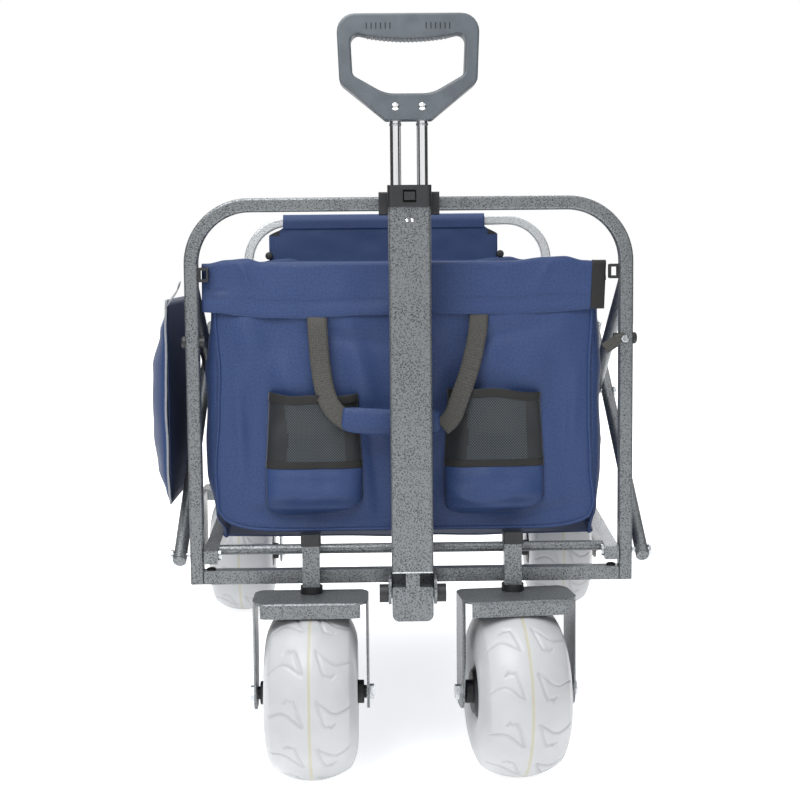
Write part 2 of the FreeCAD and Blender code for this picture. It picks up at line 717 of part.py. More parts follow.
# ---- cloth -------------------------------------------------------------------------------------

def end_wall(name, y):
    """One end of the bag, hung inside a frame."""
    wall = slab(name, "bag_width", "cloth", "bag_rim - bag_bottom")
    return keep(place(wall, 0, y, "(bag_rim + bag_bottom) / 2"))


end_wall("bag_front_wall", "bag_gap + cloth / 2")
end_wall("bag_rear_wall", REAR_Y + " - bag_gap - cloth / 2")
keep(place(slab("bag_hem", "hem_width", "hem_thick", "hem_height"), 0, "bag_gap - hem_thick / 2",
           "bag_rim - hem_height / 2"))


def bag_body():
    """The bag's two sides and its floor, sewn from one cloth, peaked over the floor's middle."""
    body = new_body("bag_body")
    start, end = v.bag_gap + v.cloth + 0.3, rear_y - v.bag_gap - v.cloth - 0.3
    rise = math.tan(math.radians(v.floor_slope))
    foot = v.pivot_height + v.tube_size / 2 + 0.8
    low, peak = foot + start * rise, foot + (start + end) / 2 * rise
    middle = (start + end) / 2
    for side in (-1, 1):
        wall = new_sketch(body, "YZ", f"{side} * (bag_width - cloth) / 2")
        outline(wall, [(start, low), (middle, peak), (end, low), (end, v.bag_rim), (start, v.bag_rim)])
        pad(body, wall, "cloth")
    floor = new_sketch(body, "YZ")
    outline(floor, [(start, low), (middle, peak), (end, low), (end, low + v.cloth),
                    (middle, peak + v.cloth), (start, low + v.cloth)])
    pad(body, floor, "bag_width - cloth")
    return keep(place(body))


bag_body()


def cup_pocket(label, x):
    """An open-topped pocket with rounded lower corners, standing out from the front wall."""
    body = new_body(f"{label}_cup_pocket")
    half, high = v.pocket_width / 2, v.pocket_height
    front = new_sketch(body, "XZ")
    corner = 18
    outline(front, [(-half, 0, corner), (half, 0, corner), (half, high), (-half, high)])
    pad(body, front, "pocket_depth")
    inside = new_sketch(body, "XZ")
    inner, bend, over = half - v.cloth, corner - v.cloth, high + 5
    outline(inside, [(-inner, v.cloth, bend), (inner, v.cloth, bend), (inner, over), (-inner, over)])
    pocket(body, inside, "pocket_depth - 2 * cloth")
    return place(body, x, "bag_gap - pocket_depth / 2", "pocket_bottom")


group("cup_pockets", [cup_pocket("left", "-pocket_place - 8"), cup_pocket("right", "pocket_place - 7")])


def carry_strap():
    """Two slack webbing legs and the wrapped grip that joins them, in front of the pockets."""
    pieces = []
    grip_y, top_y = -17, 8
    leg_foot, leg_top, grip_z = 428, 534, 425
    rise, reach = leg_top - leg_foot, top_y - grip_y
    lean = math.degrees(math.atan2(reach, rise))
    half, tall = v.strap_width / 2, math.hypot(reach, rise)
    for label, top_x, foot_x in (("left", -102, -72), ("right", 78, 44)):
        leg = new_body(f"{label}_strap_leg")
        face = new_sketch(leg, "XZ")
        outline(face, [(top_x - half, tall), (foot_x - half, 0), (foot_x + half, 0), (top_x + half, tall)])
        pad(leg, face, "hem_thick")
        pieces.append(place(leg, 0, grip_y, leg_foot, about_x(-lean)))
    grip = new_body("strap_grip")
    front = new_sketch(grip, "XZ")
    left, right, edge, corner = -82, 54, v.strap_grip_height / 2, 8
    outline(front, [(left, -edge, corner), (right, -edge, corner), (right, edge, corner),
                    (left, edge, corner)])
    pad(grip, front, "strap_grip")
    pieces.append(place(grip, 0, grip_y, grip_z))
    whole = doc.addObject("Part::MultiFuse", "carry_strap")
    whole.Label = "carry_strap"
    whole.Shapes = pieces
    return keep(whole)


carry_strap()


def rear_flap():
    """A panel folded over the rear frame's top tube."""
    body = new_body("rear_flap")
    wrap = new_sketch(body, "YZ")
    inner = v.tube_size / 2 + 0.6
    outer = inner + v.flap_sheet
    under, over = v.frame_top + 0.6, v.frame_top + 4
    low, inside_low, bend = v.bag_rim - 2, v.bag_rim + 10, 3
    outline(wrap, [(-outer, low), (-inner, low), (-inner, under), (inner, under), (inner, inside_low),
                   (outer, inside_low), (outer, over, bend), (-outer, over, bend)])
    pad(body, wrap, "flap_width - 50")
    skirt = new_sketch(body, "XZ", "tube_size / 2 + 2")
    half, skirt_top, corner = v.flap_width / 2, low + v.skirt_height, 8
    outline(skirt, [(-half, low), (half, low), (half, skirt_top, corner), (-half, skirt_top, corner)])
    pad(body, skirt, "flap_sheet")
    return keep(place(body, "-flap_shift", REAR_Y, 0))


rear_flap()


def side_pouch():
    """A soft pouch hung outside the left scissor."""
    body = new_body("side_pouch")
    section = new_sketch(body, "XZ")
    inner = -(v.outer_plane + v.arm_size / 2 + v.rivet_head + 1.7)
    outer = inner - v.pouch_depth
    low, belly, shoulder, top = v.pouch_bottom, v.pouch_bottom + 87, v.pouch_top - 76, v.pouch_top
    soft_bend = 60
    outline(section, [(inner, top), (inner, low, 8), (outer + 6, low, 20), (outer, belly, soft_bend),
                      (outer + 2, shoulder, soft_bend), (inner - 8, top, 3)])
    pad(body, section, "pouch_length")
    return keep(place(body, 0, "bag_gap + 18 + pouch_length / 2", 0))


side_pouch()


# ---- checks and files --------------------------------------------------------------------------

doc.recompute()
failed = [o.Name for o in doc.Objects if {"Invalid", "Error"} & set(o.State)]
if failed:
    raise SystemExit(f"these objects failed: {failed}")
labels = [part.Label for part in PARTS]
if len(set(labels)) != len(labels) or len(labels) > 60:
    raise SystemExit(f"{len(labels)} sub-parts, some with the same name or too many")
for part in PARTS:
    if part.Shape.isNull() or not part.Shape.isValid() or part.Shape.Volume <= 0:
        raise SystemExit(f"{part.Label} has no sound shape")

os.makedirs("parts", exist_ok=True)
for part in PARTS:
    part.Shape.exportStep(f"parts/{part.Label}.step")
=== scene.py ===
# %% [markdown]
# # A folding beach cart
# The steel frame, the scissors, the mast and the wheels come from CAD as a fixed frame. This lesson gives
# them their finishes, and makes the soft goods, the balloon tyres and the small trim around them.

import math

import bpy
from mathutils import Euler, Matrix, Vector, noise


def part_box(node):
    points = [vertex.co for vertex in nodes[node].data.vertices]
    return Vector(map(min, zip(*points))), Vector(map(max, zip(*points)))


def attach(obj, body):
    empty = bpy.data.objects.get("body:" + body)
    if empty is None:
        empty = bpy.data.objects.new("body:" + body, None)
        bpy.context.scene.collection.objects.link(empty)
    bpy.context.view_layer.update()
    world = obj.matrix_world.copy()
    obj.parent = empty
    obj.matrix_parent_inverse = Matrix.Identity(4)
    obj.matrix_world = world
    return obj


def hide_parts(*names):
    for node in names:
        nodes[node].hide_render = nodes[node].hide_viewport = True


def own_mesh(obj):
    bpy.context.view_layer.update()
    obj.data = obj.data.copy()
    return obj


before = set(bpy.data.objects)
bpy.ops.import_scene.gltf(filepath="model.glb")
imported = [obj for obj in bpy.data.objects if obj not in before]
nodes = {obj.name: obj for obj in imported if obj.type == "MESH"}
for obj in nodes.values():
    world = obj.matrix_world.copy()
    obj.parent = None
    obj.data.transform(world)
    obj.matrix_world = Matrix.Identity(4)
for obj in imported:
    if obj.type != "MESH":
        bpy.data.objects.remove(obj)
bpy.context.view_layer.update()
MM = 0.001
scene = bpy.context.scene

# %% [markdown]
# ## Camera and studio
# The cart was seen from the front, a little above the bag's rim, with a lens near 67 mm. The camera comes
# first, so that every later piece can be judged from it. A white room with one large overhead softbox and
# a weaker one in front gives the soft, nearly shadowless light of a catalogue studio.

# %% Camera
camera_data = bpy.data.cameras.new("camera")
camera_data.sensor_width = 36
camera_data.lens = 67.5
camera = bpy.data.objects.new("camera", camera_data)
scene.collection.objects.link(camera)
scene.camera = camera
DOWN, TURN, ROLL = math.radians(5.43), math.radians(-0.95), math.radians(-0.55)
aim = Euler((math.pi / 2 - DOWN, 0, TURN)).to_matrix() @ Matrix.Rotation(ROLL, 3, "Z")
camera.rotation_euler = aim.to_euler()
camera.location = (-0.0408, -2.1339, 0.6025)
print("lens", camera_data.lens, "mm")

# %% Lights


def softbox(name, place, size, power, aim_at=(0, 0, 0.4)):
    """A square area light that looks at a point."""
    lamp = bpy.data.lights.new(name, "AREA")
    lamp.size = size
    lamp.energy = power
    holder = bpy.data.objects.new(name, lamp)
    holder.location = place
    holder.rotation_euler = (Vector(aim_at) - Vector(place)).to_track_quat("-Z", "Y").to_euler()
    scene.collection.objects.link(holder)


WORLD_STRENGTH = 1.0
softbox("overhead_softbox", (-0.6, -0.4, 2.6), 1.8, 34)
softbox("front_softbox", (-0.5, -1.35, 1.6), 0.8, 15, (0, -0.4, 0.62))
softbox("rear_softbox", (0.9, 2.2, 1.9), 1.4, 22)
world = bpy.data.worlds.new("white_room")
world.use_nodes = True
backdrop = world.node_tree.nodes["Background"]
backdrop.inputs["Color"].default_value = (1, 1, 1, 1)
backdrop.inputs["Strength"].default_value = WORLD_STRENGTH
scene.world = world
scene.view_settings.view_transform = "Standard"
print("lights", len(bpy.data.lights))

# %% [markdown]
# ## Small tools
# Colours are written as the hex values a designer would pick from a swatch and turned to linear light
# once. One function adds a shader node with its settings and links. Shapes come from a few makers: a grid
# of points for cloth, a lathe for turned parts, a sweep for cords and straps.

# %% Colour and node helpers


def colour(code):
    """An sRGB hex code as linear RGBA."""
    parts = [int(code[n:n + 2], 16) / 255 for n in (1, 3, 5)]
    return [p / 12.92 if p <= 0.04045 else ((p + 0.055) / 1.055) ** 2.4 for p in parts] + [1.0]


def add(tree, kind, links=None, stops=(), **settings):
    """Add a node. links maps an input's name or number to a socket or a value; stops are a colour ramp's
    (position, hex) pairs."""
    made = tree.nodes.new("ShaderNode" + kind)
    for name, value in settings.items():
        setattr(made, name, value)
    for key, value in (links or {}).items():
        socket = made.inputs[key]
        if isinstance(value, bpy.types.NodeSocket):
            tree.links.new(value, socket)
        else:
            socket.default_value = value
    for number, (position, code) in enumerate(stops):
        element = made.color_ramp.elements[number]
        element.position = position
        element.color = colour(code)
    return made


def new_material(name, **shader_values):
    """An empty material with its Principled shader's own values set, and its tree."""
    made = bpy.data.materials.new(name)
    made.use_nodes = True
    shader = made.node_tree.nodes["Principled BSDF"]
    for key, value in shader_values.items():
        shader.inputs[key.replace("_", " ")].default_value = value
    return made, made.node_tree, shader


def wire(tree, shader, paint, relief):
    """Send a colour and a bump node's normal to the shader."""
    tree.links.new(paint.outputs["Color"], shader.inputs["Base Color"])
    tree.links.new(relief.outputs["Normal"], shader.inputs["Normal"])


print("node helpers ready")

# %% Mesh and cloth makers


def new_piece(name, points, faces, material, body=None, coords=None, smooth=True):
    """A mesh piece from points in metres, riding on a body."""
    mesh = bpy.data.meshes.new(name)
    mesh.from_pydata([tuple(p) for p in points], [], faces)
    mesh.validate()
    piece = bpy.data.objects.new(name, mesh)
    scene.collection.objects.link(piece)
    for finish in material if isinstance(material, (list, tuple)) else [material]:
        mesh.materials.append(finish)
    if coords:
        layer = mesh.uv_layers.new(name="cloth")
        for loop in mesh.loops:
            layer.data[loop.index].uv = coords[loop.vertex_index]
    if smooth:
        mesh.polygons.foreach_set("use_smooth", [True] * len(mesh.polygons))
    if body:
        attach(piece, body)
    return piece


def grid(name, columns, rows, point, material, body, size):
    """Cloth: point(u, v) gives a place for u and v from 0 to 1. size is its flat size in metres."""
    points, coords = [], []
    for j in range(rows + 1):
        for i in range(columns + 1):
            u, v = i / columns, j / rows
            points.append(point(u, v))
            coords.append((u * size[0], v * size[1]))
    across = columns + 1
    faces = []
    for j in range(rows):
        for i in range(columns):
            here = j * across + i
            faces.append((here, here + 1, here + 1 + across, here + across))
    return new_piece(name, points, faces, material, body, coords)


def thicken(piece, thick, lining=0):
    """Give a sheet its real thickness. lining is how many material slots on the inner face is."""
    made = piece.modifiers.new("thickness", "SOLIDIFY")
    made.thickness = thick
    made.offset = 0.0
    made.material_offset = lining
    return piece


print("mesh makers ready")

# %% Cords and turned parts


def frame_along(path, start_up):
    """Tangent and carried-along up vector at each point of a path."""
    found, up = [], Vector(start_up)
    last = len(path) - 1
    for n in range(len(path)):
        along = (Vector(path[min(n + 1, last)]) - Vector(path[max(n - 1, 0)])).normalized()
        up = (up - along * up.dot(along)).normalized()
        found.append((along, up.copy()))
    return found


def sweep(name, path, section, material, body, up=(0, 0, 1)):
    """Sweep a section along a path. section(n, share) gives points (side, up) in metres."""
    frames = frame_along(path, up)
    points, coords, travelled = [], [], 0.0
    for n, (along, rise) in enumerate(frames):
        side = rise.cross(along)
        shape = section(n, n / max(1, len(path) - 1))
        if n:
            travelled += (Vector(path[n]) - Vector(path[n - 1])).length
        for k, (a, b) in enumerate(shape):
            points.append(Vector(path[n]) + side * a + rise * b)
            coords.append((a + b, travelled))
    count, rings = len(shape), len(path)
    faces = []
    for n in range(rings - 1):
        for k in range(count):
            low, high = n * count, (n + 1) * count
            faces.append((low + k, low + (k + 1) % count, high + (k + 1) % count, high + k))
    faces.append(tuple(reversed(range(count))))
    faces.append(tuple(range((rings - 1) * count, rings * count)))
    return new_piece(name, points, faces, material, body, coords)


def round_section(radius, sides=10):
    """A circle for sweep."""
    turns = [2 * math.pi * k / sides for k in range(sides)]
    ring = [(radius * math.cos(turn), radius * math.sin(turn)) for turn in turns]
    return lambda n, share: ring


def lathe(name, profile, place, axis, material, body=None, steps=36):
    """A turned part: profile is (along, radius) in millimetres, from one end to the other."""
    turn = Vector(axis).to_track_quat("Z", "Y").to_matrix()
    points = []
    for along, radius in profile:
        for k in range(steps):
            angle = 2 * math.pi * k / steps
            spot = Vector((radius * math.cos(angle), radius * math.sin(angle), along)) * MM
            points.append(turn @ spot + Vector(place))
    faces = []
    for n in range(len(profile) - 1):
        for k in range(steps):
            right = (k + 1) % steps
            faces.append((n * steps + k, n * steps + right, (n + 1) * steps + right, (n + 1) * steps + k))
    faces.append(tuple(reversed(range(steps))))
    faces.append(tuple(range((len(profile) - 1) * steps, len(profile) * steps)))
    piece = new_piece(name, points, faces, material, body)
    soften(piece)
    return piece


def soften(piece, degrees=35):
    """Smooth shading that keeps real edges crisp."""
    for edge in piece.data.edges:
        edge.use_edge_sharp = False
    piece.data.set_sharp_from_angle(angle=math.radians(degrees))


print("sweep and lathe ready")

# %% Curves and mouldings


def smooth_path(points, steps=8):
    """A Catmull-Rom curve through given points."""
    spots = [Vector(p) for p in points]
    spots = [spots[0] * 2 - spots[1]] + spots + [spots[-1] * 2 - spots[-2]]
    made = []
    for n in range(1, len(spots) - 2):
        a, b, c, d = spots[n - 1:n + 3]
        for k in range(steps):
            t = k / steps
            made.append(0.5 * ((2 * b) + (c - a) * t + (2 * a - 5 * b + 4 * c - d) * t ** 2
                               + (3 * b - 3 * c + d - a) * t ** 3))
    return made + [spots[-2]]


def rounded(corners, steps=6):
    """A closed outline of (x, z) points in millimetres with each corner (x, z, radius) rounded."""
    made, count = [], len(corners)
    for n, (x, z, radius) in enumerate(corners):
        here = Vector((x, z))
        back = (Vector(corners[n - 1][:2]) - here).normalized()
        ahead = (Vector(corners[(n + 1) % count][:2]) - here).normalized()
        half = back.angle(ahead) / 2
        middle = here + (back + ahead).normalized() * (radius / math.sin(half))
        start, end = here + back * radius / math.tan(half), here + ahead * radius / math.tan(half)
        first, last = start - middle, end - middle
        whole = first.angle_signed(last)
        for k in range(steps + 1):
            turn = Matrix.Rotation(-whole * k / steps, 2)
            made.append(middle + turn @ first)
    return made


def moulding(name, outlines, y, depth, edge, material, body):
    """A plate in the XZ plane, outlines in mm, depth and edge radius in metres, as a bevelled curve."""
    curve = bpy.data.curves.new(name, "CURVE")
    curve.dimensions = "2D"
    curve.fill_mode = "BOTH"
    curve.extrude = depth / 2 - edge
    curve.bevel_depth = edge
    curve.bevel_resolution = 3
    curve.offset = -edge
    for outline in outlines:
        spline = curve.splines.new("POLY")
        spline.points.add(len(outline) - 1)
        for spot, target in zip(outline, spline.points):
            target.co = (spot[0] * MM, spot[1] * MM, 0, 1)
        spline.use_cyclic_u = True
    source = bpy.data.objects.new(name + "_curve", curve)
    scene.collection.objects.link(source)
    bpy.context.view_layer.update()
    mesh = bpy.data.meshes.new_from_object(source.evaluated_get(bpy.context.evaluated_depsgraph_get()))
    bpy.data.objects.remove(source)
    mesh.transform(Matrix.Translation((0, y, 0)) @ Matrix.Rotation(math.pi / 2, 4, "X"))
    mesh.name = name
    piece = bpy.data.objects.new(name, mesh)
    scene.collection.objects.link(piece)
    mesh.materials.clear()
    mesh.materials.append(material)
    mesh.polygons.foreach_set("use_smooth", [True] * len(mesh.polygons))
    soften(piece, 28)
    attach(piece, body)
    return piece


print("curves ready")

# %% [markdown]
# ## Finishes
# Each finish starts from what the real surface is. Metals keep the shader's default IOR. Patterns run in
# object space on the steel, and in metres along the cloth on sheets, so that their scale is real.

# %% [markdown]
# Hammered enamel on steel tube: a silicone additive makes the metallic paint pull into small pools with
# darker veins between them. A cell pattern 3 mm wide gives the pools, bent a little by noise.

# %% Hammered enamel


def hammered_enamel(name, pool, vein, gloss):
    made, tree, shader = new_material(name, Metallic=0.6, Roughness=gloss)
    place = add(tree, "TexCoord").outputs["Object"]
    drift = add(tree, "TexNoise", {"Vector": place, "Scale": 320.0, "Detail": 2.0})
    bent = add(tree, "VectorMath", {0: drift.outputs["Color"], 1: (0.0030, 0.0030, 0.0030)},
               operation="MULTIPLY")
    spot = add(tree, "VectorMath", {0: place, 1: bent.outputs[0]}, operation="ADD").outputs[0]
    cells = add(tree, "TexVoronoi", {"Vector": spot, "Scale": 1 / (2.0 * MM), "Randomness": 1.0})
    wide = add(tree, "TexNoise", {"Vector": place, "Scale": 26.0, "Detail": 2.0}).outputs["Fac"]
    mixed = add(tree, "Math", {0: wide, 1: 0.25, 2: cells.outputs["Distance"]}, operation="MULTIPLY_ADD")
    paint = add(tree, "ValToRGB", {0: mixed.outputs[0]}, [(0.28, vein), (0.66, pool)])
    height = add(tree, "Math", {0: 1.0, 1: cells.outputs["Distance"]}, operation="SUBTRACT").outputs[0]
    relief = add(tree, "Bump", {"Height": height, "Distance": 0.35 * MM, "Strength": 0.55})
    wire(tree, shader, paint, relief)
    return made


frame_paint = hammered_enamel("hammered_silver_vein_enamel", "#777b7e", "#343739", 0.36)
# A lighter copy of the frame enamel for the rear hoop: painted highlight standing for the backlight that
# washes it out.
painted_backlight_enamel = hammered_enamel("hammered_enamel_painted_backlight", "#c6c9cb", "#9b9fa2", 0.34)
print("enamel", frame_paint.name)

# %% [markdown]
# Glass-filled nylon and polypropylene mouldings: nearly black, with a spark-eroded texture of about
# 0.4 mm, drawn at 0.8 mm so that it shows, and paler where hands polish it.

# %% Moulded plastics


def moulded_plastic(name, body_code, worn_code, gloss, grain_mm=0.8):
    made, tree, shader = new_material(name, Roughness=gloss, IOR=1.49)
    place = add(tree, "TexCoord").outputs["Object"]
    grain = add(tree, "TexNoise", {"Vector": place, "Scale": 1 / (grain_mm * MM), "Detail": 3.0})
    patches = add(tree, "TexNoise", {"Vector": place, "Scale": 45.0, "Detail": 3.0}).outputs["Fac"]
    paint = add(tree, "ValToRGB", {0: patches}, [(0.35, body_code), (0.75, worn_code)])
    relief = add(tree, "Bump", {"Height": grain.outputs["Fac"], "Distance": 0.12 * MM, "Strength": 0.35})
    wire(tree, shader, paint, relief)
    return made


black_nylon = moulded_plastic("glass_filled_nylon_black", "#17181a", "#232427", 0.46)
grip_plastic = moulded_plastic("polypropylene_charcoal", "#484e54", "#545b61", 0.42)
hub_plastic = moulded_plastic("polypropylene_hub_black", "#141517", "#202225", 0.5)
print("plastics ready")

# %% [markdown]
# The balloon tyres are moulded PVC foam skin: pale grey, satin, with faint cloudy tone from the mould. The
# mould's parting line is a thin, slightly yellowed flash ring.

# %% Tyre skin


def foam_skin(name, low_code, high_code):
    made, tree, shader = new_material(name, Roughness=0.36, IOR=1.5)
    place = add(tree, "TexCoord").outputs["Object"]
    cloud = add(tree, "TexNoise", {"Vector": place, "Scale": 14.0, "Detail": 4.0}).outputs["Fac"]
    paint = add(tree, "ValToRGB", {0: cloud}, [(0.35, low_code), (0.65, high_code)])
    pores = add(tree, "TexNoise", {"Vector": place, "Scale": 900.0, "Detail": 2.0}).outputs["Fac"]
    relief = add(tree, "Bump", {"Height": pores, "Distance": 0.08 * MM, "Strength": 0.3})
    wire(tree, shader, paint, relief)
    return made


tyre_skin = foam_skin("moulded_pvc_foam_pale_grey", "#a9abae", "#b4b6b8")
seam_skin = foam_skin("moulding_flash_yellowed", "#a7a493", "#b3b0a0")
print("tyre skin ready")

# %% [markdown]
# Chrome plate on the stays is a mirror with very fine drawing lines along the tube. Zinc plate on bolts and
# nuts is duller and slightly blue, with cloudy passivation.

# %% Plated metals


def plated(name, dark_code, light_code, gloss, line_mm):
    made, tree, shader = new_material(name, Metallic=1.0, Roughness=gloss)
    place = add(tree, "TexCoord").outputs["Object"]
    drawn = add(tree, "Mapping", {"Vector": place, "Scale": (1.0, 1.0, 0.02)}).outputs[0]
    lines = add(tree, "TexNoise", {"Vector": drawn, "Scale": 1 / (line_mm * MM), "Detail": 2.0})
    paint = add(tree, "ValToRGB", {0: lines.outputs["Fac"]}, [(0.3, dark_code), (0.7, light_code)])
    relief = add(tree, "Bump", {"Height": lines.outputs["Fac"], "Distance": 0.02 * MM, "Strength": 0.25})
    wire(tree, shader, paint, relief)
    return made


chrome = plated("chrome_plate_drawn", "#dcdee0", "#f1f2f3", 0.09, 1.2)
zinc = plated("zinc_plate_passivated", "#a4a9ae", "#d5d9dc", 0.3, 2.0)
print("metals ready")

# %% [markdown]
# The bag is 600 denier polyester oxford, a basket weave whose paired threads repeat about every 0.7 mm,
# drawn at 1.5 mm so that it shows, PU coated, so it has a low sheen and creases that catch light. Its inner
# face is the duller coating.

# %% Oxford cloth


def woven(name, dark_code, light_code, pitch_mm, gloss, depth_mm, sheen=0.0):
    """Cloth with crossing threads, in metres along the sheet."""
    made, tree, shader = new_material(name, Roughness=gloss, IOR=1.45, Sheen_Weight=sheen,
                                      Sheen_Roughness=0.4)
    along = add(tree, "TexCoord").outputs["UV"]
    frequency = 2 * math.pi / (20 * pitch_mm * MM)
    yarn = {"Vector": along, "Scale": frequency, "Distortion": 0.6, "Detail Scale": 0.4}
    warp, weft = (add(tree, "TexWave", yarn, bands_direction=way).outputs["Fac"] for way in "XY")
    threads = add(tree, "Math", {0: warp, 1: weft}, operation="MULTIPLY").outputs[0]
    slub = add(tree, "TexNoise", {"Vector": along, "Scale": 420.0, "Detail": 3.0}).outputs["Fac"]
    shade = add(tree, "Math", {0: threads, 1: 0.45}, operation="MULTIPLY_ADD")
    tree.links.new(slub, shade.inputs[2])
    paint = add(tree, "ValToRGB", {0: shade.outputs[0]}, [(0.3, dark_code), (0.95, light_code)])
    relief = add(tree, "Bump", {"Height": shade.outputs[0], "Distance": depth_mm * MM, "Strength": 0.5})
    wire(tree, shader, paint, relief)
    return made


oxford = woven("polyester_oxford_navy", "#162951", "#28406d", 1.5, 0.6, 0.2, 0.05)
lining = woven("oxford_coated_back_navy", "#142240", "#1d2f53", 1.5, 0.6, 0.12)
binding = woven("grosgrain_binding_black", "#0c0c0c", "#1c1c1b", 1.8, 0.7, 0.25, 0.1)
webbing = woven("polypropylene_webbing_black", "#272725", "#4a4945", 2.0, 0.62, 0.5, 0.15)
thread = woven("bonded_thread_navy", "#1d2c50", "#2b3f6e", 0.8, 0.5, 0.1)
pale_tape = woven("reflective_tape_grey", "#74787d", "#989ca1", 1.6, 0.4, 0.15)
print("cloths ready")

# %% [markdown]
# The pockets' upper halves are warp-knit mesh with diamond holes, about 2 mm here, over a paler net that
# shows through them. The holes are drawn as a crossing wave pattern.

# %% Knitted mesh


def knitted_mesh(name, yarn, hole, pitch_mm):
    made, tree, shader = new_material(name, Roughness=0.55, IOR=1.45, Sheen_Weight=0.1)
    along = add(tree, "TexCoord").outputs["UV"]
    turned = add(tree, "Mapping", {"Vector": along, "Rotation": (0, 0, math.radians(45))}).outputs[0]
    frequency = 2 * math.pi / (20 * pitch_mm * MM)
    waves = [add(tree, "TexWave", {"Vector": turned, "Scale": frequency}, bands_direction=way)
             for way in "XY"]
    holes = add(tree, "Math", {0: waves[0].outputs["Fac"], 1: waves[1].outputs["Fac"]},
                operation="MULTIPLY").outputs[0]
    paint = add(tree, "ValToRGB", {0: holes}, [(0.25, yarn), (0.6, hole)])
    relief = add(tree, "Bump", {"Height": holes, "Distance": 0.4 * MM, "Strength": -0.6})
    wire(tree, shader, paint, relief)
    return made


pocket_net = knitted_mesh("warp_knit_mesh_black", "#14181c", "#3f4a52", 2.4)
# A darker copy of the mesh finish for the pockets' sides and the flap's corners: painted shade.
painted_shade_mesh = knitted_mesh("warp_knit_mesh_shaded", "#0e1114", "#1b2127", 2.4)
print("finishes", len(bpy.data.materials))

# %% [markdown]
# ## Finishes on the CAD parts
# Every steel, plastic and plated part keeps its CAD shape and only gets its finish.

# %% Paint the frame's nodes
FINISHES = {
    frame_paint: ["front_hoop", "front_cross_tube", "rear_cross_tube", "caster_posts", "mast_tube",
                  "mast_foot", "mast_yoke", "front_floor_rails", "rear_floor_rails", "front_floor_bars",
                  "rear_floor_bars", "rear_pivot_lugs", "left_caster_fork", "right_caster_fork",
                  "left_rear_fork", "right_rear_fork"],
    # The rear hoop wears the lighter enamel copy as a painted highlight.
    painted_backlight_enamel: ["rear_hoop"],
    black_nylon: ["caster_post_caps", "caster_bearings", "mast_pivot_bolt", "mast_clip",
                  "release_button", "rim_brackets", "side_bolts", "mast_collar"],
    hub_plastic: [n for n in nodes if n.endswith("_hub")],
    zinc: ["left_caster_axle", "right_caster_axle", "rear_axles", "front_pivot_bolts",
           "rear_rail_bolts"],
    chrome: ["handle_stays"],
}
FINISHES[frame_paint] += [n for n in nodes if n.endswith("_arm")]
FINISHES[zinc] += [n for n in nodes if n.endswith("_rivets")]
for finish, names in FINISHES.items():
    for node_name in names:
        held = nodes[node_name].data.materials
        held.clear()
        held.append(finish)
print("painted", sum(len(names) for names in FINISHES.values()), "of", len(nodes))

# %% Places read from the frame


def middle(node_name):
    low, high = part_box(node_name)
    return (low + high) / 2


FRONT_Y = middle("front_hoop").y
REAR_Y = middle("rear_hoop").y
MAST_FRONT_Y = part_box("mast_tube")[0].y
wall_low, wall_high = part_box("bag_front_wall")
RIM_Z, BAG_LOW_Z = wall_high.z, wall_low.z
print("front", round(FRONT_Y, 4), "rear", round(REAR_Y, 4), "rim", round(RIM_Z, 4))

# %% [markdown]
# ## Balloon tyres
# A tyre is a skin turned about its axle: a nearly flat crown, round shoulders and sides that fall in to
# the bead. The mould cuts thin outlines of lightning-shaped lugs in two staggered rows. Each point of a
# fine grid sinks by how near it lies to one of those lines, so the tread is real geometry.

# %% Tyre profile
TYRE_OUT, BEAD, HALF_WIDTH = 100.0, 30.0, 53.0
LUGS = 11
LUG_PITCH = 2 * math.pi * TYRE_OUT / LUGS
STEEP_LINE = [(8, 0), (15, 24), (17.5, 29.5), (23, 28.7), (24.7, 31.5), (29, 27)]
LONG_LINE = [(8, 0), (15, 5), (24.7, 12.8), (32, 15), (40, 12.5), (50, 7)]


def arc(start, through, end, steps):
    """Points on the circle through three points, start included and end left out."""
    a, b, c = Vector(start), Vector(through), Vector(end)
    d = 2 * (a.x * (b.y - c.y) + b.x * (c.y - a.y) + c.x * (a.y - b.y))
    aa, bb, cc = a.length_squared, b.length_squared, c.length_squared
    centre = Vector(((aa * (b.y - c.y) + bb * (c.y - a.y) + cc * (a.y - b.y)) / d,
                     (aa * (c.x - b.x) + bb * (a.x - c.x) + cc * (b.x - a.x)) / d))
    first, last = a - centre, c - centre
    turn = first.angle_signed(last)
    return [centre + Matrix.Rotation(-turn * k / steps, 2) @ first for k in range(steps)]


def tyre_profile():
    rim, shoulder = 0.87 * HALF_WIDTH, (0.83 * HALF_WIDTH, 0.86 * TYRE_OUT)
    flank = (HALF_WIDTH, 0.6 * TYRE_OUT)
    side = arc((rim, BEAD), flank, shoulder, 28)
    crown = arc(shoulder, (0, TYRE_OUT), (-shoulder[0], shoulder[1]), 56)
    other = [Vector((-p.x, p.y)) for p in reversed(side)]
    return side + crown + [Vector((-shoulder[0], shoulder[1]))] + other


def line_distance(spot, line):
    """How far a point is from a run of straight pieces, in millimetres."""
    best = 1e9
    for (ax, ay), (bx, by) in zip(line, line[1:]):
        ex, ey = bx - ax, by - ay
        share = max(0.0, min(1.0, ((spot[0] - ax) * ex + (spot[1] - ay) * ey) / (ex * ex + ey * ey)))
        best = min(best, math.hypot(spot[0] - ax - share * ex, spot[1] - ay - share * ey))
    return best


def tread_cut(across, around):
    """Depth of the tread's lines in millimetres at a place on the skin."""
    if across < 0:
        across, around = -across, LUG_PITCH / 2 - around
    around %= LUG_PITCH
    near = min(line_distance((across, around + shift), line) for shift in (-LUG_PITCH, 0, LUG_PITCH)
               for line in (STEEP_LINE, LONG_LINE)) if 5 < across < 56 else 9.0
    seam = 0.35 * math.exp(-(across / 1.1) ** 2)
    return 2.1 * math.exp(-(near / 1.15) ** 2) + seam


print("tyre profile ready")

# %% Make the tyres
AROUND = 396


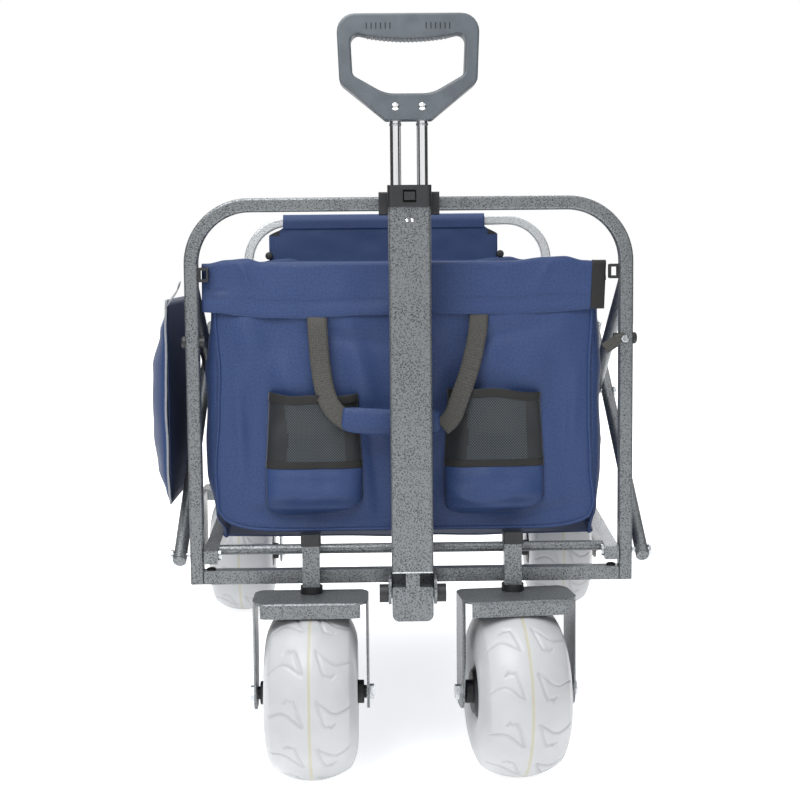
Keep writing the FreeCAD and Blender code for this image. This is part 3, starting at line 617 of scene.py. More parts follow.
def tyre_mesh():
    """Points and faces of one tyre about the X axis, with its middle faces marked as the seam."""
    profile = tyre_profile()
    lengths = [0.0]
    for a, b in zip(profile, profile[1:]):
        lengths.append(lengths[-1] + (b - a).length)
    half = lengths[-1] / 2
    bore = [Vector((-0.83 * HALF_WIDTH, BEAD)), Vector((0.83 * HALF_WIDTH, BEAD))]
    per_lug = AROUND // LUGS
    cuts = [[tread_cut(half - lengths[n], LUG_PITCH * k / per_lug) for k in range(per_lug)]
            for n in range(len(profile))]
    points, faces, seam_faces = [], [], []
    for n, spot in enumerate(profile + bore):
        for k in range(AROUND):
            angle = 2 * math.pi * k / AROUND
            radius = spot.y - (cuts[n][k % per_lug] if n < len(profile) else 0.0)
            points.append(Vector((spot.x, radius * math.cos(angle), radius * math.sin(angle))) * MM)
    rows = len(profile) + len(bore)
    for n in range(rows):
        for k in range(AROUND):
            right, after = (k + 1) % AROUND, (n + 1) % rows
            faces.append((n * AROUND + k, n * AROUND + right, after * AROUND + right, after * AROUND + k))
            if n < len(profile) - 1 and abs(half - (lengths[n] + lengths[n + 1]) / 2) < 1.0:
                seam_faces.append(len(faces) - 1)
    return points, faces, seam_faces


skin_points, skin_faces, seam_faces = tyre_mesh()
for wheel in ("front_left", "front_right", "rear_left", "rear_right"):
    centre = middle(wheel + "_tyre")
    fork_turn = math.radians(6) if wheel == "front_right" else 0.0
    turn = Matrix.Rotation(fork_turn, 3, "Z") @ Matrix.Rotation(math.radians(17 * len(wheel)), 3, "X")
    tyre = new_piece(wheel + "_balloon_tyre", [turn @ p + centre for p in skin_points], skin_faces,
                     [tyre_skin, seam_skin], wheel + "_wheel")
    for number in seam_faces:
        tyre.data.polygons[number].material_index = 1
    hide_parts(wheel + "_tyre")
print("tyre skin", len(skin_points), "points,", LUGS, "lugs a row")

# %% [markdown]
# ## The bag
# The bag is sewn from coated oxford: a front and a rear panel, two side panels that wrap round the corners,
# and a floor, with piping in the seams. It hangs from the frames, so the cloth bellies between its seams
# and creases run from where it is held. Each panel is one sheet whose points are pushed by a few named
# folds and by soft noise.

# %% Cloth helpers


def at(x, y, z):
    """A place in the shared frame from millimetres, y counted from the front frame's plane."""
    return Vector((x * MM, FRONT_Y + y * MM, z * MM))


def through(value, knots):
    """A smooth value through given (place, value) knots, held past both ends."""
    if value <= knots[0][0]:
        return knots[0][1]
    for (a, low), (b, high) in zip(knots, knots[1:]):
        if value <= b:
            share = (value - a) / (b - a)
            return low + (high - low) * share * share * (3 - 2 * share)
    return knots[-1][1]


def crease(x, z, start, end, width, depth):
    """A ridge or a valley along a straight run, fading at its ends."""
    run = Vector(end) - Vector(start)
    share = (Vector((x, z)) - Vector(start)).dot(run) / run.length_squared
    held = max(0.0, min(1.0, share))
    away = (Vector((x, z)) - Vector(start) - run * held).length
    return depth * math.exp(-(away / width) ** 2) * (0.35 + 0.65 * math.sin(math.pi * held))


def rumple(x, y, z, size, height):
    """Soft noise of a given size and height, in millimetres."""
    return height * noise.noise(Vector((x, y, z)) / size)


STITCH_PITCH, STITCH_HALF, STITCH_SIDE = 4.2 * MM, 1.386 * MM, 0.45 * MM
STITCH_OUT, STITCH_CREST = 0.5 * MM, 1.8


def stitches(name, path, body):
    """A row of thread stitches standing on a path of points, as one mesh."""
    points, faces, travelled = [], [], 0.0
    for a, b in zip(path, path[1:]):
        along = Vector(b) - Vector(a)
        while travelled < along.length:
            here = Vector(a) + along.normalized() * travelled
            tip = along.normalized() * STITCH_HALF
            side = along.normalized().cross(Vector((0, 1, 0))).normalized() * STITCH_SIDE
            out = side.cross(along).normalized() * STITCH_OUT
            if body == "front_frame":
                out = Vector((0, -STITCH_OUT, 0))
            first = len(points)
            points += [here - tip, here + side + out, here + tip, here - side + out,
                       here + out * STITCH_CREST]
            faces += [(first + k, first + (k + 1) % 4, first + 4) for k in range(4)]
            travelled += STITCH_PITCH
        travelled -= along.length
    return new_piece(name, points, faces, thread, body)


CLOTH, HEM_CLOTH = 1.1 * MM, 1.2 * MM
WALL_GAP = 13
RIM, LOW = RIM_Z / MM, BAG_LOW_Z / MM
LENGTH = (REAR_Y - FRONT_Y) / MM
LEFT_SEAM = [(280, -218), (300, -228), (352, -230), (422, -225), (470, -223), (535, -227)]
RIGHT_SEAM = [(280, 211), (304, 217), (352, 213), (422, 211), (470, 211), (535, 214)]
LEFT_BELLY = [(282, -225), (300, -234), (352, -243), (400, -245), (460, -244), (535, -236),
              (590, -230)]
RIGHT_BELLY = [(282, 219), (304, 225), (352, 229), (400, 231), (460, 230), (535, 226), (590, 224)]
print("bag", round(LENGTH), "mm long, rim at", round(RIM))
print("cloth helpers ready")

# %% Front and rear panels
FRONT_FOLDS = [((-212, 535), (-110, 420), 22, -6.5), ((-160, 530), (-190, 330), 18, 6.0),
               ((-75, 535), (-40, 400), 16, -6.5), ((200, 532), (90, 420), 22, -6.5),
               ((62, 525), (30, 330), 14, 6.5), ((172, 480), (192, 300), 16, 5.0),
               ((-212, 306), (-50, 290), 10, 5.5), ((60, 290), (204, 306), 10, 5.5),
               ((-205, 480), (-196, 340), 7, -4.0), ((196, 470), (188, 350), 7, -4.0),
               ((-130, 520), (-20, 500), 10, 4.0), ((40, 500), (150, 522), 10, 4.0),
               ((-48, 420), (-36, 300), 9, 5.5), ((34, 330), (170, 292), 9, -4.0)]


DEEPEST, SOFT_STOP = 14.6, 1.5


def front_depth(x, z):
    """How far the front panel stands behind the front frame's plane."""
    folds = sum(crease(x, z, *fold) for fold in FRONT_FOLDS)
    rest = through(z, [(535, 9.0), (575, 13.0)])
    free = rest + folds + rumple(x, 0, z, 90, 5.0) + rumple(x, 40, z, 34, 1.6)
    return DEEPEST - SOFT_STOP * math.log1p(math.exp((DEEPEST - free) / SOFT_STOP))


WALL_SIZE = (0.444, 0.321)
SEAM_LIFT, HEM_TUCK, CORNER_LIFT = 7, 4, 12


def front_panel(u, v):
    """The front panel from its left seam to its right one; its lower corners are rounded upwards."""
    z = LOW + SEAM_LIFT + (RIM - HEM_TUCK - LOW - SEAM_LIFT) * v
    x = through(z, LEFT_SEAM) * (1 - u) + through(z, RIGHT_SEAM) * u
    corner = abs(2 * u - 1) ** 10
    edge = min(1.0, 12 * min(u, 1 - u)) ** 0.5
    depth = WALL_GAP + (front_depth(x, z) - WALL_GAP) * edge
    return at(x, depth, z + CORNER_LIFT * corner * (1 - v) ** 6)


wall = grid("bag_front_panel", 150, 110, front_panel, [oxford, lining], "front_frame", WALL_SIZE)
thicken(wall, CLOTH, 1)
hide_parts("bag_front_wall")


def rear_panel(u, v):
    """The front panel turned to the rear frame, a little to the right."""
    spot = front_panel(1 - u, v)
    deep = spot.y - FRONT_Y
    return Vector((spot.x + 4 * MM, REAR_Y - deep - 0.4 * MM * math.sin(9 * u), spot.z))


back = grid("bag_rear_panel", 110, 80, rear_panel, [oxford, lining], "rear_frame", WALL_SIZE)
thicken(back, CLOTH, 1)
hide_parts("bag_rear_wall")
print("end panels", wall.name, back.name)

# %% Side panels and floor
FLOOR_LOW, FLOOR_PEAK = 268.0, 302.0
BAG_END = LENGTH - WALL_GAP
CORNER_ROUND = 34.0
SIDE_SIZE, FLOOR_SIZE = (0.82, 0.32), (0.44, 0.82)


def flatten(piece):
    """Give the piece a mesh of its own."""
    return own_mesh(piece)


def side_place(side, u, v):
    """A side panel: it rounds the corners, sags at the rim and has upright pleats."""
    belly_knots, seam_knots = (LEFT_BELLY, LEFT_SEAM) if side < 0 else (RIGHT_BELLY, RIGHT_SEAM)
    y = WALL_GAP + (BAG_END - WALL_GAP) * u
    sag = math.sin(math.pi * u)
    bottom = FLOOR_LOW + 8 + (FLOOR_PEAK - FLOOR_LOW) * sag ** 1.5 * 0.6
    top = RIM - 5 - 9 * sag ** 2 + rumple(0, y, side * 30, 60, 3.0)
    z = bottom + (top - bottom) * v
    seam, belly = through(z, seam_knots), through(z, belly_knots)
    near = min(1.0, min(y - WALL_GAP, BAG_END - y) / CORNER_ROUND)
    round_corner = math.sqrt(max(0.0, 1 - (1 - near) ** 2))
    x = seam + (belly - seam) * round_corner
    pleats = 3.2 * math.sin(y / 27 + 2.0 * math.sin(z / 90)) * sag * (0.3 + 0.7 * v)
    x -= side * round_corner * (5 * sag * (1 - v) + 7 * sag * v ** 3 + abs(pleats)
                                + abs(rumple(0, y, z, 70, 5.0)))
    return at(x, y, z)


sides = []
for label, side in (("left", -1), ("right", 1)):
    made = grid(f"bag_{label}_panel", 200, 70, lambda u, v, way=side: side_place(way, u, v),
                [oxford, lining] if side > 0 else [lining, oxford], "front_frame", SIDE_SIZE)
    thicken(made, CLOTH, 1)
    sides.append(made)


def floor_place(u, v):
    """The floor panel, from side to side, lying on the floor bars."""
    y = WALL_GAP + 1 + (BAG_END - WALL_GAP - 1) * v
    left, right = side_place(-1, v, 0), side_place(1, v, 0)
    spot = left.lerp(right, u)
    belly = math.sin(math.pi * u)
    lift = 3.0 * abs(math.sin(y / 140 * math.pi)) * belly
    return spot + Vector((0, 0, (lift - 3 * belly + rumple(spot.x / MM, y, 0, 60, 1.5) * belly) * MM))


bag_floor = grid("bag_floor_panel", 60, 110, floor_place, [lining, oxford], "front_frame", FLOOR_SIZE)
thicken(bag_floor, CLOTH, 1)
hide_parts("bag_body")
print("side panels and floor", len(sides) + 1)

# %% [markdown]
# A rim hem runs round the bag. In front it is a wide band folded over the top edge, hanging free along its
# wavy lower edge, with one stitched row along its middle and one near its edge. Black grosgrain closes its
# right end.

# %% Front hem
HEM_LEFT, HEM_RIGHT = -241.0, 219.0
HEM_SIZE, SIDE_HEM_SIZE = (0.452, 0.1), (0.82, 0.075)
HEM_ROLL, HEM_INSIDE = 5, 17
INNER_END, ROLL_END = 0.25, 0.4
HEM_EDGE = [(-240, 541), (-222, 540), (-200, 536.5), (-170, 533.5), (-120, 532.5), (-85, 534.5),
            (-60, 535.5), (30, 537), (90, 535.5), (150, 536.5), (240, 541.5)]
HEM_TOP = [(-235, 597), (-212, 601), (-190, 602.5), (-170, 598), (-40, 597), (120, 597),
           (158, 601), (182, 602), (205, 597), (220, 596)]
HEM_FOLDS = [((-196, 598), (-186, 572), 4.5, -2.4), ((-225, 566), (-214, 566), 3, 1.8),
             ((-228, 585), (-200, 560), 16, 2.4), ((-60, 590), (-30, 545), 22, 2.6),
             ((166, 596), (150, 570), 5, -1.8), ((40, 592), (190, 566), 9, 1.8),
             ((-160, 552), (-20, 552), 6, 1.0), ((30, 552), (215, 552), 6, 1.0)]


def hem_place(u, v, proud=0.0):
    """v runs from inside the bag, over the rim, to the free lower edge."""
    x = HEM_LEFT + (HEM_RIGHT - HEM_LEFT) * u
    top, edge = through(x, HEM_TOP), through(x, HEM_EDGE)
    roll_z = top - HEM_ROLL
    if v < INNER_END:
        share = v / INNER_END
        return at(x, 19 - 0.5 * share, roll_z - HEM_INSIDE * (1 - share))
    if v < ROLL_END:
        turn = math.pi * (v - INNER_END) / (ROLL_END - INNER_END)
        radius = HEM_ROLL + proud
        return at(x, 13.5 + radius * math.cos(turn), roll_z + radius * math.sin(turn))
    share = (v - ROLL_END) / (1 - ROLL_END)
    z = roll_z + (edge - roll_z) * share
    hang = 8.5 - 2.8 * share + sum(crease(x, z, *fold) for fold in HEM_FOLDS)
    return at(x, hang - proud + rumple(x, 9, z, 40, 1.5), z)


hem = grid("bag_front_hem", 190, 60, hem_place, [oxford, oxford], "front_frame", HEM_SIZE)
thicken(hem, HEM_CLOTH, 1)
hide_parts("bag_hem")

for row, share in (("middle", 0.79), ("edge", 0.972)):
    line = [hem_place(0.01 + 0.98 * k / 120, share, 0.7) for k in range(121)]
    stitches(f"hem_{row}_stitches", line, "front_frame")


BINDING_LOW, BINDING_WIDE = HEM_RIGHT - 3, 16.0
BINDING_SIZE = (BINDING_WIDE * MM, 0.1)


def binding_place(u, v):
    """A folded tape over the hem's right end, from inside the rim to its lower edge."""
    x = BINDING_LOW + BINDING_WIDE * u
    held = min(HEM_RIGHT, x)
    spot = hem_place((held - HEM_LEFT) / (HEM_RIGHT - HEM_LEFT), v, 1.1)
    lean = -4.5 * v
    return spot + Vector((x - held + lean, -0.4 * math.sin(math.pi * u), 0)) * MM


end_binding = grid("hem_right_binding", 10, 60, binding_place, binding, "front_frame", BINDING_SIZE)
thicken(end_binding, HEM_CLOTH)
print("front hem", hem.name)

# %% Side and rear hems


SIDE_INNER, SIDE_ROLL, SIDE_DROP = 0.35, 0.5, 46.0


def side_hem_place(side, u, v):
    """A narrow hem folded over each side panel's top edge."""
    top = side_place(side, u, 1.0)
    if v < SIDE_INNER:
        share = v / SIDE_INNER
        return top + Vector((-side * 4.0, 0, -20 + 20 * share)) * MM
    if v < SIDE_ROLL:
        turn = math.pi * (v - SIDE_INNER) / (SIDE_ROLL - SIDE_INNER)
        return top + Vector((-side * (0.5 + 3.5 * math.cos(turn)), 0, 3.5 * math.sin(turn))) * MM
    share = (v - SIDE_ROLL) / (1 - SIDE_ROLL)
    below = side_place(side, u, 1.0 - share * SIDE_DROP / 300)
    flutter = 1.4 + 1.6 * share + 1.2 * share * math.sin(u * 60)
    return Vector((below.x + side * (1.6 + abs(flutter)) * MM, top.y, top.z - share * SIDE_DROP * MM))


for label, side in (("left", -1), ("right", 1)):
    made = grid(f"bag_{label}_hem", 160, 26, lambda u, v, way=side: side_hem_place(way, u, v),
                oxford, "front_frame", SIDE_HEM_SIZE)
    thicken(made, CLOTH)
    sides.append(made)


def rear_hem_place(u, v):
    """The front hem turned to the rear frame."""
    spot = hem_place(1 - u, v)
    return Vector((spot.x + 6 * MM, REAR_Y - (spot.y - FRONT_Y), spot.z))


rear_hem = grid("bag_rear_hem", 120, 40, rear_hem_place, [oxford, oxford], "rear_frame", HEM_SIZE)
thicken(rear_hem, CLOTH, 1)
print("side and rear hems", rear_hem.name)

# %% Piping in the seams
PIPE = 1.9 * MM


def seam_spot(u, v):
    """A place just in front of the front panel's edge."""
    return front_panel(u, v) + Vector((0, -1.2 * MM, 0))


left_seam = [seam_spot(0.0, 1 - n / 40) for n in range(41)]
right_seam = [seam_spot(1.0, n / 40) for n in range(41)]
outline_path = left_seam + [seam_spot(n / 60, 0.0) for n in range(1, 60)] + right_seam
sweep("bag_front_piping", outline_path, round_section(PIPE), oxford, "front_frame", up=(0, -1, 0))
rear_path = [Vector((p.x + 4 * MM, REAR_Y - (p.y - FRONT_Y), p.z)) for p in outline_path]
sweep("bag_rear_piping", rear_path, round_section(PIPE), oxford, "rear_frame", up=(0, 1, 0))
for label, side in (("left", -1), ("right", 1)):
    low_path = [side_place(side, n / 80, 0.0) + Vector((side * 0.6, 0, -0.5)) * MM for n in range(81)]
    sides.append(sweep(f"bag_{label}_floor_piping", low_path, round_section(PIPE), oxford,
                       "front_frame"))
for piece in sides + [bag_floor]:
    flatten(piece)
print("bag pieces", len(sides) + 6)


# %% [markdown]
# ## Cup pockets
# Each pocket has a blue lower half that bellies out, a band of tape, and a knitted mesh upper half whose
# bound mouth gapes. The mesh's sides take a darker, shaded copy of its finish as painted shade.

# %% Cup pockets
BAND_Z, POCKET_FOOT, MOUTH_Z = 360.0, 301.0, 444
POUCH_SIZE, NET_SIZE = (0.13, 0.075), (0.125, 0.09)
POCKETS = (("left", -170.0, -57.0, 3.0), ("right", 40.0, 157.0, 47.0))
POCKET_BELLY = [(POCKET_FOOT, 1.0), (POCKET_FOOT + 10, 10), (326, 17.5), (345, 14), (BAND_Z, 10),
                (392, 9.5), (446, 13.5)]


def ribbon(name, path, width, material, body, face=(0, -1, 0), thick=1.3 * MM):
    """Webbing or tape laid along a path, its flat side turned to face."""
    frames = frame_along(path, face)

    def place(u, v):
        n = min(len(path) - 1, round(v * (len(path) - 1)))
        along, up = frames[n]
        return Vector(path[n]) + up.cross(along) * (u - 0.5) * width
    length = sum((Vector(b) - Vector(a)).length for a, b in zip(path, path[1:]))
    made = grid(name, 6, len(path) - 1, place, material, body, (width, length))
    thicken(made, thick)
    return made


def pocket_depth(u, z, seed):
    """How far the pocket stands out from the panel at a place on it."""
    across = max(0.0, 1 - abs(2 * u - 1) ** 3.5) ** 0.6
    return through(z, POCKET_BELLY) * across + rumple(u * 110, seed, z, 24, 2.2) * across


def pocket_skin(x_low, x_high, seed, u, z, out=0.0):
    """A place on a pocket, out millimetres in front of its cloth."""
    narrow = 5.0 * max(0.0, (POCKET_FOOT + 22 - z) / 22) ** 2 + 5.0 * max(0.0, (z - BAND_Z) / 86)
    x = x_low + narrow + (x_high - x_low - 2 * narrow) * u
    base = min(front_depth(x, z), 16.0) - 1.6
    return at(x, max(-10.5, base - pocket_depth(u, z, seed)) - out, z)


pocket_pieces = []
for label, x_low, x_high, seed in POCKETS:
    def mouth(u, low=x_low, spot=seed):
        ruffle = 3.0 * math.sin(9 * u + spot) * u * (1 - u) * 2
        return MOUTH_Z + 3.5 * math.sin(3.0 * u + low * 0.02) + ruffle

    def lower_place(u, v, lo=x_low, hi=x_high, spot=seed):
        z = POCKET_FOOT + (BAND_Z + 3 - POCKET_FOOT) * v + 7 * abs(2 * u - 1) ** 8 * (1 - v) ** 3
        z += 1.6 * math.sin(7 * u + spot) * v * (1 - v) + 13 * u ** 4 * (1 - v) ** 2
        return pocket_skin(lo, hi, spot, u, z)

    def mesh_place(u, v, lo=x_low, hi=x_high, spot=seed, top=mouth):
        z = BAND_Z - 2 + (top(u) - BAND_Z + 2) * v
        return pocket_skin(lo, hi, spot, u, z, 0.4)

    lower = grid(f"{label}_pocket_pouch", 60, 40, lower_place, [oxford, lining], "front_frame",
                 (0.13, 0.07))
    thicken(lower, CLOTH, 1)
    mesh = grid(f"{label}_pocket_mesh", 60, 48, mesh_place, [pocket_net, painted_shade_mesh], "front_frame",
                NET_SIZE)
    # The side columns of the mesh take the darker copy as painted shade.
    for face in mesh.data.polygons:
        share = face.index % 60 / 60
        face.material_index = int(share < 0.19 + 0.03 * math.sin(face.index / 700) or share > 0.82)
    thicken(mesh, 0.8 * MM)
    rim = [pocket_skin(x_low, x_high, seed, k / 60, mouth(k / 60) - 3, 0.8) for k in range(61)]
    band = [pocket_skin(x_low, x_high, seed, k / 60, BAND_Z + 1, 0.9) for k in range(61)]
    tape = [ribbon(f"{label}_pocket_mouth_tape", rim, 10 * MM, binding, "front_frame", thick=2.2 * MM),
            ribbon(f"{label}_pocket_band", band, 8 * MM, binding, "front_frame")]
    pocket_pieces += [lower, mesh] + tape
    for row, inset in (("outer", 2.2), ("inner", 6.5)):
        line = [at(x_low + inset - 4, min(front_depth(x_low, z), 16) - 2.2, z) for z in range(312, 440, 3)]
        stitches(f"{label}_pocket_{row}_stitches", line, "front_frame")
for piece in pocket_pieces:
    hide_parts("cup_pockets")
print("pocket pieces", len(pocket_pieces))

# %% [markdown]
# ## Carry strap
# Two slack legs of black webbing hang from under the hem and meet in a padded, wrapped grip behind the mast.

# %% Carry strap
left_leg = smooth_path([at(-108, 9.6, 546), at(-107.8, 6.9, 535), at(-107.3, 2.4, 526),
                        at(-106.4, 0, 508), at(-104, -3, 478), at(-99, -9, 448),
                        at(-89, -14, 427), at(-72, -17, 413)], 7)
right_leg = smooth_path([at(82, 9.6, 548), at(81.6, 6.9, 537), at(80.6, 2.4, 528),
                         at(78, 0, 508), at(70, -4, 474), at(57, -10, 438),
                         at(48, -14, 417), at(36, -17, 406)], 7)
wrap_path = smooth_path([at(-79, -16, 417), at(-50, -18, 414), at(-10, -19, 412), at(33, -16, 413)], 8)


WRAP_SIDES, WRAP_HALF_WIDE, WRAP_HALF_THICK = 28, 15.5 * MM, 4.6 * MM


def wrap_shape(n, share):
    """The grip's oval section, puckered by its stitching and pinched at its ends."""
    pinch = 0.8 + 0.2 * math.sin(math.pi * min(1, max(0, share))) ** 0.4
    shape = []
    for k in range(WRAP_SIDES):
        turn = 2 * math.pi * k / WRAP_SIDES
        pucker = 1 + 0.05 * noise.noise(Vector((k * 0.5, n * 0.35, 2)))
        shape.append((WRAP_HALF_WIDE * math.cos(turn) * pinch * pucker,
                      WRAP_HALF_THICK * math.sin(turn) * pucker))
    return shape


wrap = sweep("strap_grip_wrap", wrap_path, wrap_shape, oxford, "front_frame", up=(0, -1, 0))
legs = [ribbon("carry_strap_left_leg", left_leg, 23 * MM, webbing, "front_frame"),
        ribbon("carry_strap_right_leg", right_leg, 22 * MM, webbing, "front_frame")]
for piece in legs + [wrap]:
    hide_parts("carry_strap")
stitches("strap_wrap_stitches", [p + Vector((0, -5.0, -9)) * MM for p in wrap_path], "front_frame")
print("strap pieces", len(legs) + 2)

# %% [markdown]
# ## Rear flap
# A panel is folded forwards over the rear tube, narrower over the tube than below it, with mesh corners and
# a knob at each lower end.

# %% Rear flap
FLAP_FOOT, TUBE_Z, FLAP_DROP = 596.0, 664, 55
FRONT_END, OVER_END = 0.62, 0.8
FLAP_SIZE = (0.386, 0.17)


def flap_place(u, v):
    """v runs from the front panel's lower edge, over the tube, to the rear panel's edge."""
    if v < FRONT_END:
        share = v / FRONT_END
        z = FLAP_FOOT + (TUBE_Z - FLAP_FOOT) * share
        deep = -9.6 - 1.6 * (z > 651) + rumple(u * 380, 5, z, 34, 1.2) * math.sin(math.pi * share)
    elif v < OVER_END:
        turn = math.pi * (v - FRONT_END) / (OVER_END - FRONT_END)
        z, deep = TUBE_Z + 11.6 * math.sin(turn), -11.2 * math.cos(turn)
    else:
        z, deep = TUBE_Z - FLAP_DROP * (v - OVER_END) / (1 - OVER_END), 11.2
    low_left, low_right = through(z, [(640, -217), (655, -193)]), through(z, [(640, 169), (655, 147)])
    x = low_left + (low_right - low_left) * u
    return at(x, LENGTH + deep + 0.9 * math.exp(-((x + 209) / 2) ** 2), z)


flap = grid("rear_flap_panel", 120, 90, flap_place, [oxford, painted_shade_mesh], "rear_frame", FLAP_SIZE)
# The flap's mesh corners take the darker mesh copy as painted shade.
for face in flap.data.polygons:
    spot = face.center
    past = spot.x / MM < -199 or spot.x / MM > 152
    face.material_index = int(past and spot.z / MM > 640 and spot.y < REAR_Y)
thicken(flap, CLOTH)
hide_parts("rear_flap")
for label, x in (("left", -213), ("right", 166)):
    for row, shift in (("outer", 0), ("inner", 5)):
        line = [at(x + (shift if x < 0 else -shift), LENGTH - 10.8, z) for z in range(598, 640, 3)]
        stitches(f"flap_{label}_{row}_stitches", line, "rear_frame")
    knob = lathe(f"flap_{label}_knob", [(0, 4), (1, 6), (7, 6.5), (9, 5), (9.5, 2)],
                 at(x - 4 if x < 0 else x + 7, LENGTH - 9, 607), (0, -1, 0), black_nylon, "rear_frame")
print("rear flap", flap.name)

# %% [markdown]
# ## Side pouch
# A soft pouch hangs outside the left scissor: an outer sheet that bellies between its ends, a gusset at the
# front end and a back sheet, both cut from the darker lining cloth as painted shade, and grey piping round
# its edge.

# %% Side pouch
POUCH_START, POUCH_END, POUCH_IN = 32.0, 326.0, -286.2
POUCH_LOW, POUCH_TALL, POUCH_LIMIT = 312, 243, -322.4
OUTER_SIZE, BACK_SIZE, GUSSET_SIZE = (0.3, 0.27), (0.3, 0.243), (0.014, 0.25)
POUCH_PROFILE = [(312, 1.5), (322, 17), (345, 30), (385, 36), (470, 35.5), (515, 22), (545, 6), (555, 1.5)]


def pouch_place(u, v):
    """The outer sheet, from its front end to its rear one."""
    y = POUCH_START + (POUCH_END - POUCH_START) * u
    z = POUCH_LOW + POUCH_TALL * v
    belly = 0.08 + 0.92 * math.sin(math.pi * 0.92 * u) ** 0.6
    out = through(z, POUCH_PROFILE) * belly + rumple(0, y, z, 50, 2.2) * math.sin(math.pi * v)
    return at(max(POUCH_IN - out, POUCH_LIMIT), y, z)


def gusset_place(u, v):
    """The front end, from the back sheet to the outer one, dented inwards."""
    edge = pouch_place(0, v)
    inner = Vector((POUCH_IN * MM, edge.y + 1.5 * MM, edge.z))
    dent = Vector((0, 6 * MM * math.sin(math.pi * u), 0))
    return inner.lerp(edge, u) + dent


def pouch_back(u, v):
    """The flat sheet next to the arms."""
    y = POUCH_START + (POUCH_END - POUCH_START) * u
    return at(POUCH_IN + 0.4, y, POUCH_LOW + POUCH_TALL * v)


# The back sheet is cut from the darker lining cloth: painted shade on its face toward the arms.
pouch = [grid("side_pouch_outer", 90, 70, pouch_place, [oxford, oxford], "front_frame", OUTER_SIZE),
         grid("side_pouch_back", 30, 30, pouch_back, lining, "front_frame", BACK_SIZE)]
for made, flat in zip(pouch, (OUTER_SIZE, BACK_SIZE)):
    thicken(made, CLOTH, 1 if len(made.data.materials) > 1 else 0)
# The gusset is cut from the darker lining cloth: painted shade at the pouch's front end.
gusset = grid("side_pouch_gusset", 16, 60, gusset_place, lining, "front_frame", (0.02, 0.243))
thicken(gusset, CLOTH)
pipe_line = [pouch_place(0, k / 60) + Vector((0.3, -1.2, 0)) * MM for k in range(61)]
pouch_pipe = sweep("side_pouch_piping", pipe_line, round_section(1.5 * MM), pale_tape, "front_frame",
                   up=(0, -1, 0))
tab_path = smooth_path([at(-266, 4, 576), at(-270, 8, 566), at(-279, 22, 556), at(-287, 40, 548)], 6)
ribbon("side_pouch_tab", tab_path, 10 * MM, pale_tape, "front_frame", face=(-1, 0, 0.3))
for piece in pouch + [gusset, pouch_pipe]:
    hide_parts("side_pouch")
    flatten(piece)
print("side pouch pieces", len(pouch) + 3)

# %% [markdown]
# ## Handle grip and small trim
# The D grip is one moulding with rounded edges. Under its top bar the finger rest bows down and has small
# teeth. Two domed rivets hold it to the stays.

# %% Handle grip
grip_low, grip_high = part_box("handle_grip")
GRIP_TOP, GRIP_FOOT, GRIP_HALF = grip_high.z / MM, grip_low.z / MM, (grip_high.x - grip_low.x) / 2 / MM
MAST_Y = middle("handle_grip").y
grip_outline = rounded([(-26, GRIP_FOOT, 4), (26, GRIP_FOOT, 4), (GRIP_HALF - 3, GRIP_FOOT + 41, 12),
                        (GRIP_HALF, GRIP_TOP, 20), (-GRIP_HALF, GRIP_TOP, 20),
                        (3 - GRIP_HALF, GRIP_FOOT + 41, 12)])
REST_Z, GRIP_DEEP, GRIP_ROUND = 849, 30 * MM, 2.6 * MM
hand_hole = rounded([(-64, REST_Z, 9), (64, REST_Z, 9), (62, 804, 8), (26, 783.6, 40), (-26, 783.6, 40),
                     (-62, 804, 8)])
TEETH, TEETH_HALF, TOOTH, REST_SAG = 20, 46, 0.9, 6
teeth = []
for n in range(TEETH * 6 + 1):
    x = -TEETH_HALF + 2 * TEETH_HALF * n / (TEETH * 6)
    bow = REST_SAG * (1 - (x / 56) ** 2)
    teeth.append(Vector((x, REST_Z - bow - TOOTH * max(0.0, math.sin(n * math.pi / 3)))))
hole_with_teeth = hand_hole[:7] + teeth + hand_hole[7:]
grip = moulding("d_grip", [grip_outline, hole_with_teeth], MAST_Y, GRIP_DEEP, GRIP_ROUND,
                grip_plastic, "handle")
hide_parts("handle_grip")
GRIP_FACE = MAST_Y - GRIP_DEEP / 2
for label, x in (("left", -15), ("right", 15)):
    dome = lathe(f"grip_{label}_rivet", [(-0.5, 4.2), (0.4, 4.2), (1.2, 3.4), (1.8, 2.0), (2.0, 0.6)],
                 (x * MM, GRIP_FACE, 769 * MM), (0, -1, 0), chrome, "handle", 24)
    ring = lathe(f"stay_{label}_ring", [(0, 6.5), (0.4, 7.0), (2.4, 7.0), (2.8, 6.5)],
                 (x * MM, MAST_Y, 749 * MM), (0, 0, 1), zinc, "handle", 28)


def slab_row(name, spots, size, material, body):
    """A row of small flat marks: spots in metres, size (x, y, z) in millimetres."""
    points, faces = [], []
    half = Vector(size) * 0.5 * MM
    for spot in spots:
        first = len(points)
        for a, b, c in ((-1, -1, -1), (1, -1, -1), (1, -1, 1), (-1, -1, 1), (-1, 1, -1), (1, 1, -1),
                        (1, 1, 1), (-1, 1, 1)):
            points.append(Vector(spot) + Vector((a * half.x, b * half.y, c * half.z)))
        for face in ((0, 1, 2, 3), (5, 4, 7, 6), (4, 0, 3, 7), (1, 5, 6, 2), (3, 2, 6, 7), (4, 5, 1, 0)):
            faces.append(tuple(first + k for k in face))
    return new_piece(name, points, faces, material, body, smooth=False)


# The slots are not cut: thin near-black marks on the grip's face are painted shade inside them.
slot_shade_spots = [Vector((way * (20 + 5.2 * n) * MM, GRIP_FACE, 857 * MM)) for way in (-1, 1) for n in range(6)]
slab_row("grip_slot_shade_marks", slot_shade_spots, (1.3, 0.3, 7), hub_plastic, "handle")
print("grip and its rivets", grip.name)

# %% [markdown]
# ## Screws, rivets and the latch
# Small turned parts stand on the frame: a screw at each end of the cross tube, two rivets high on the
# mast, the mast's bare cut edge, and the latch strap with its nut at the right corner.

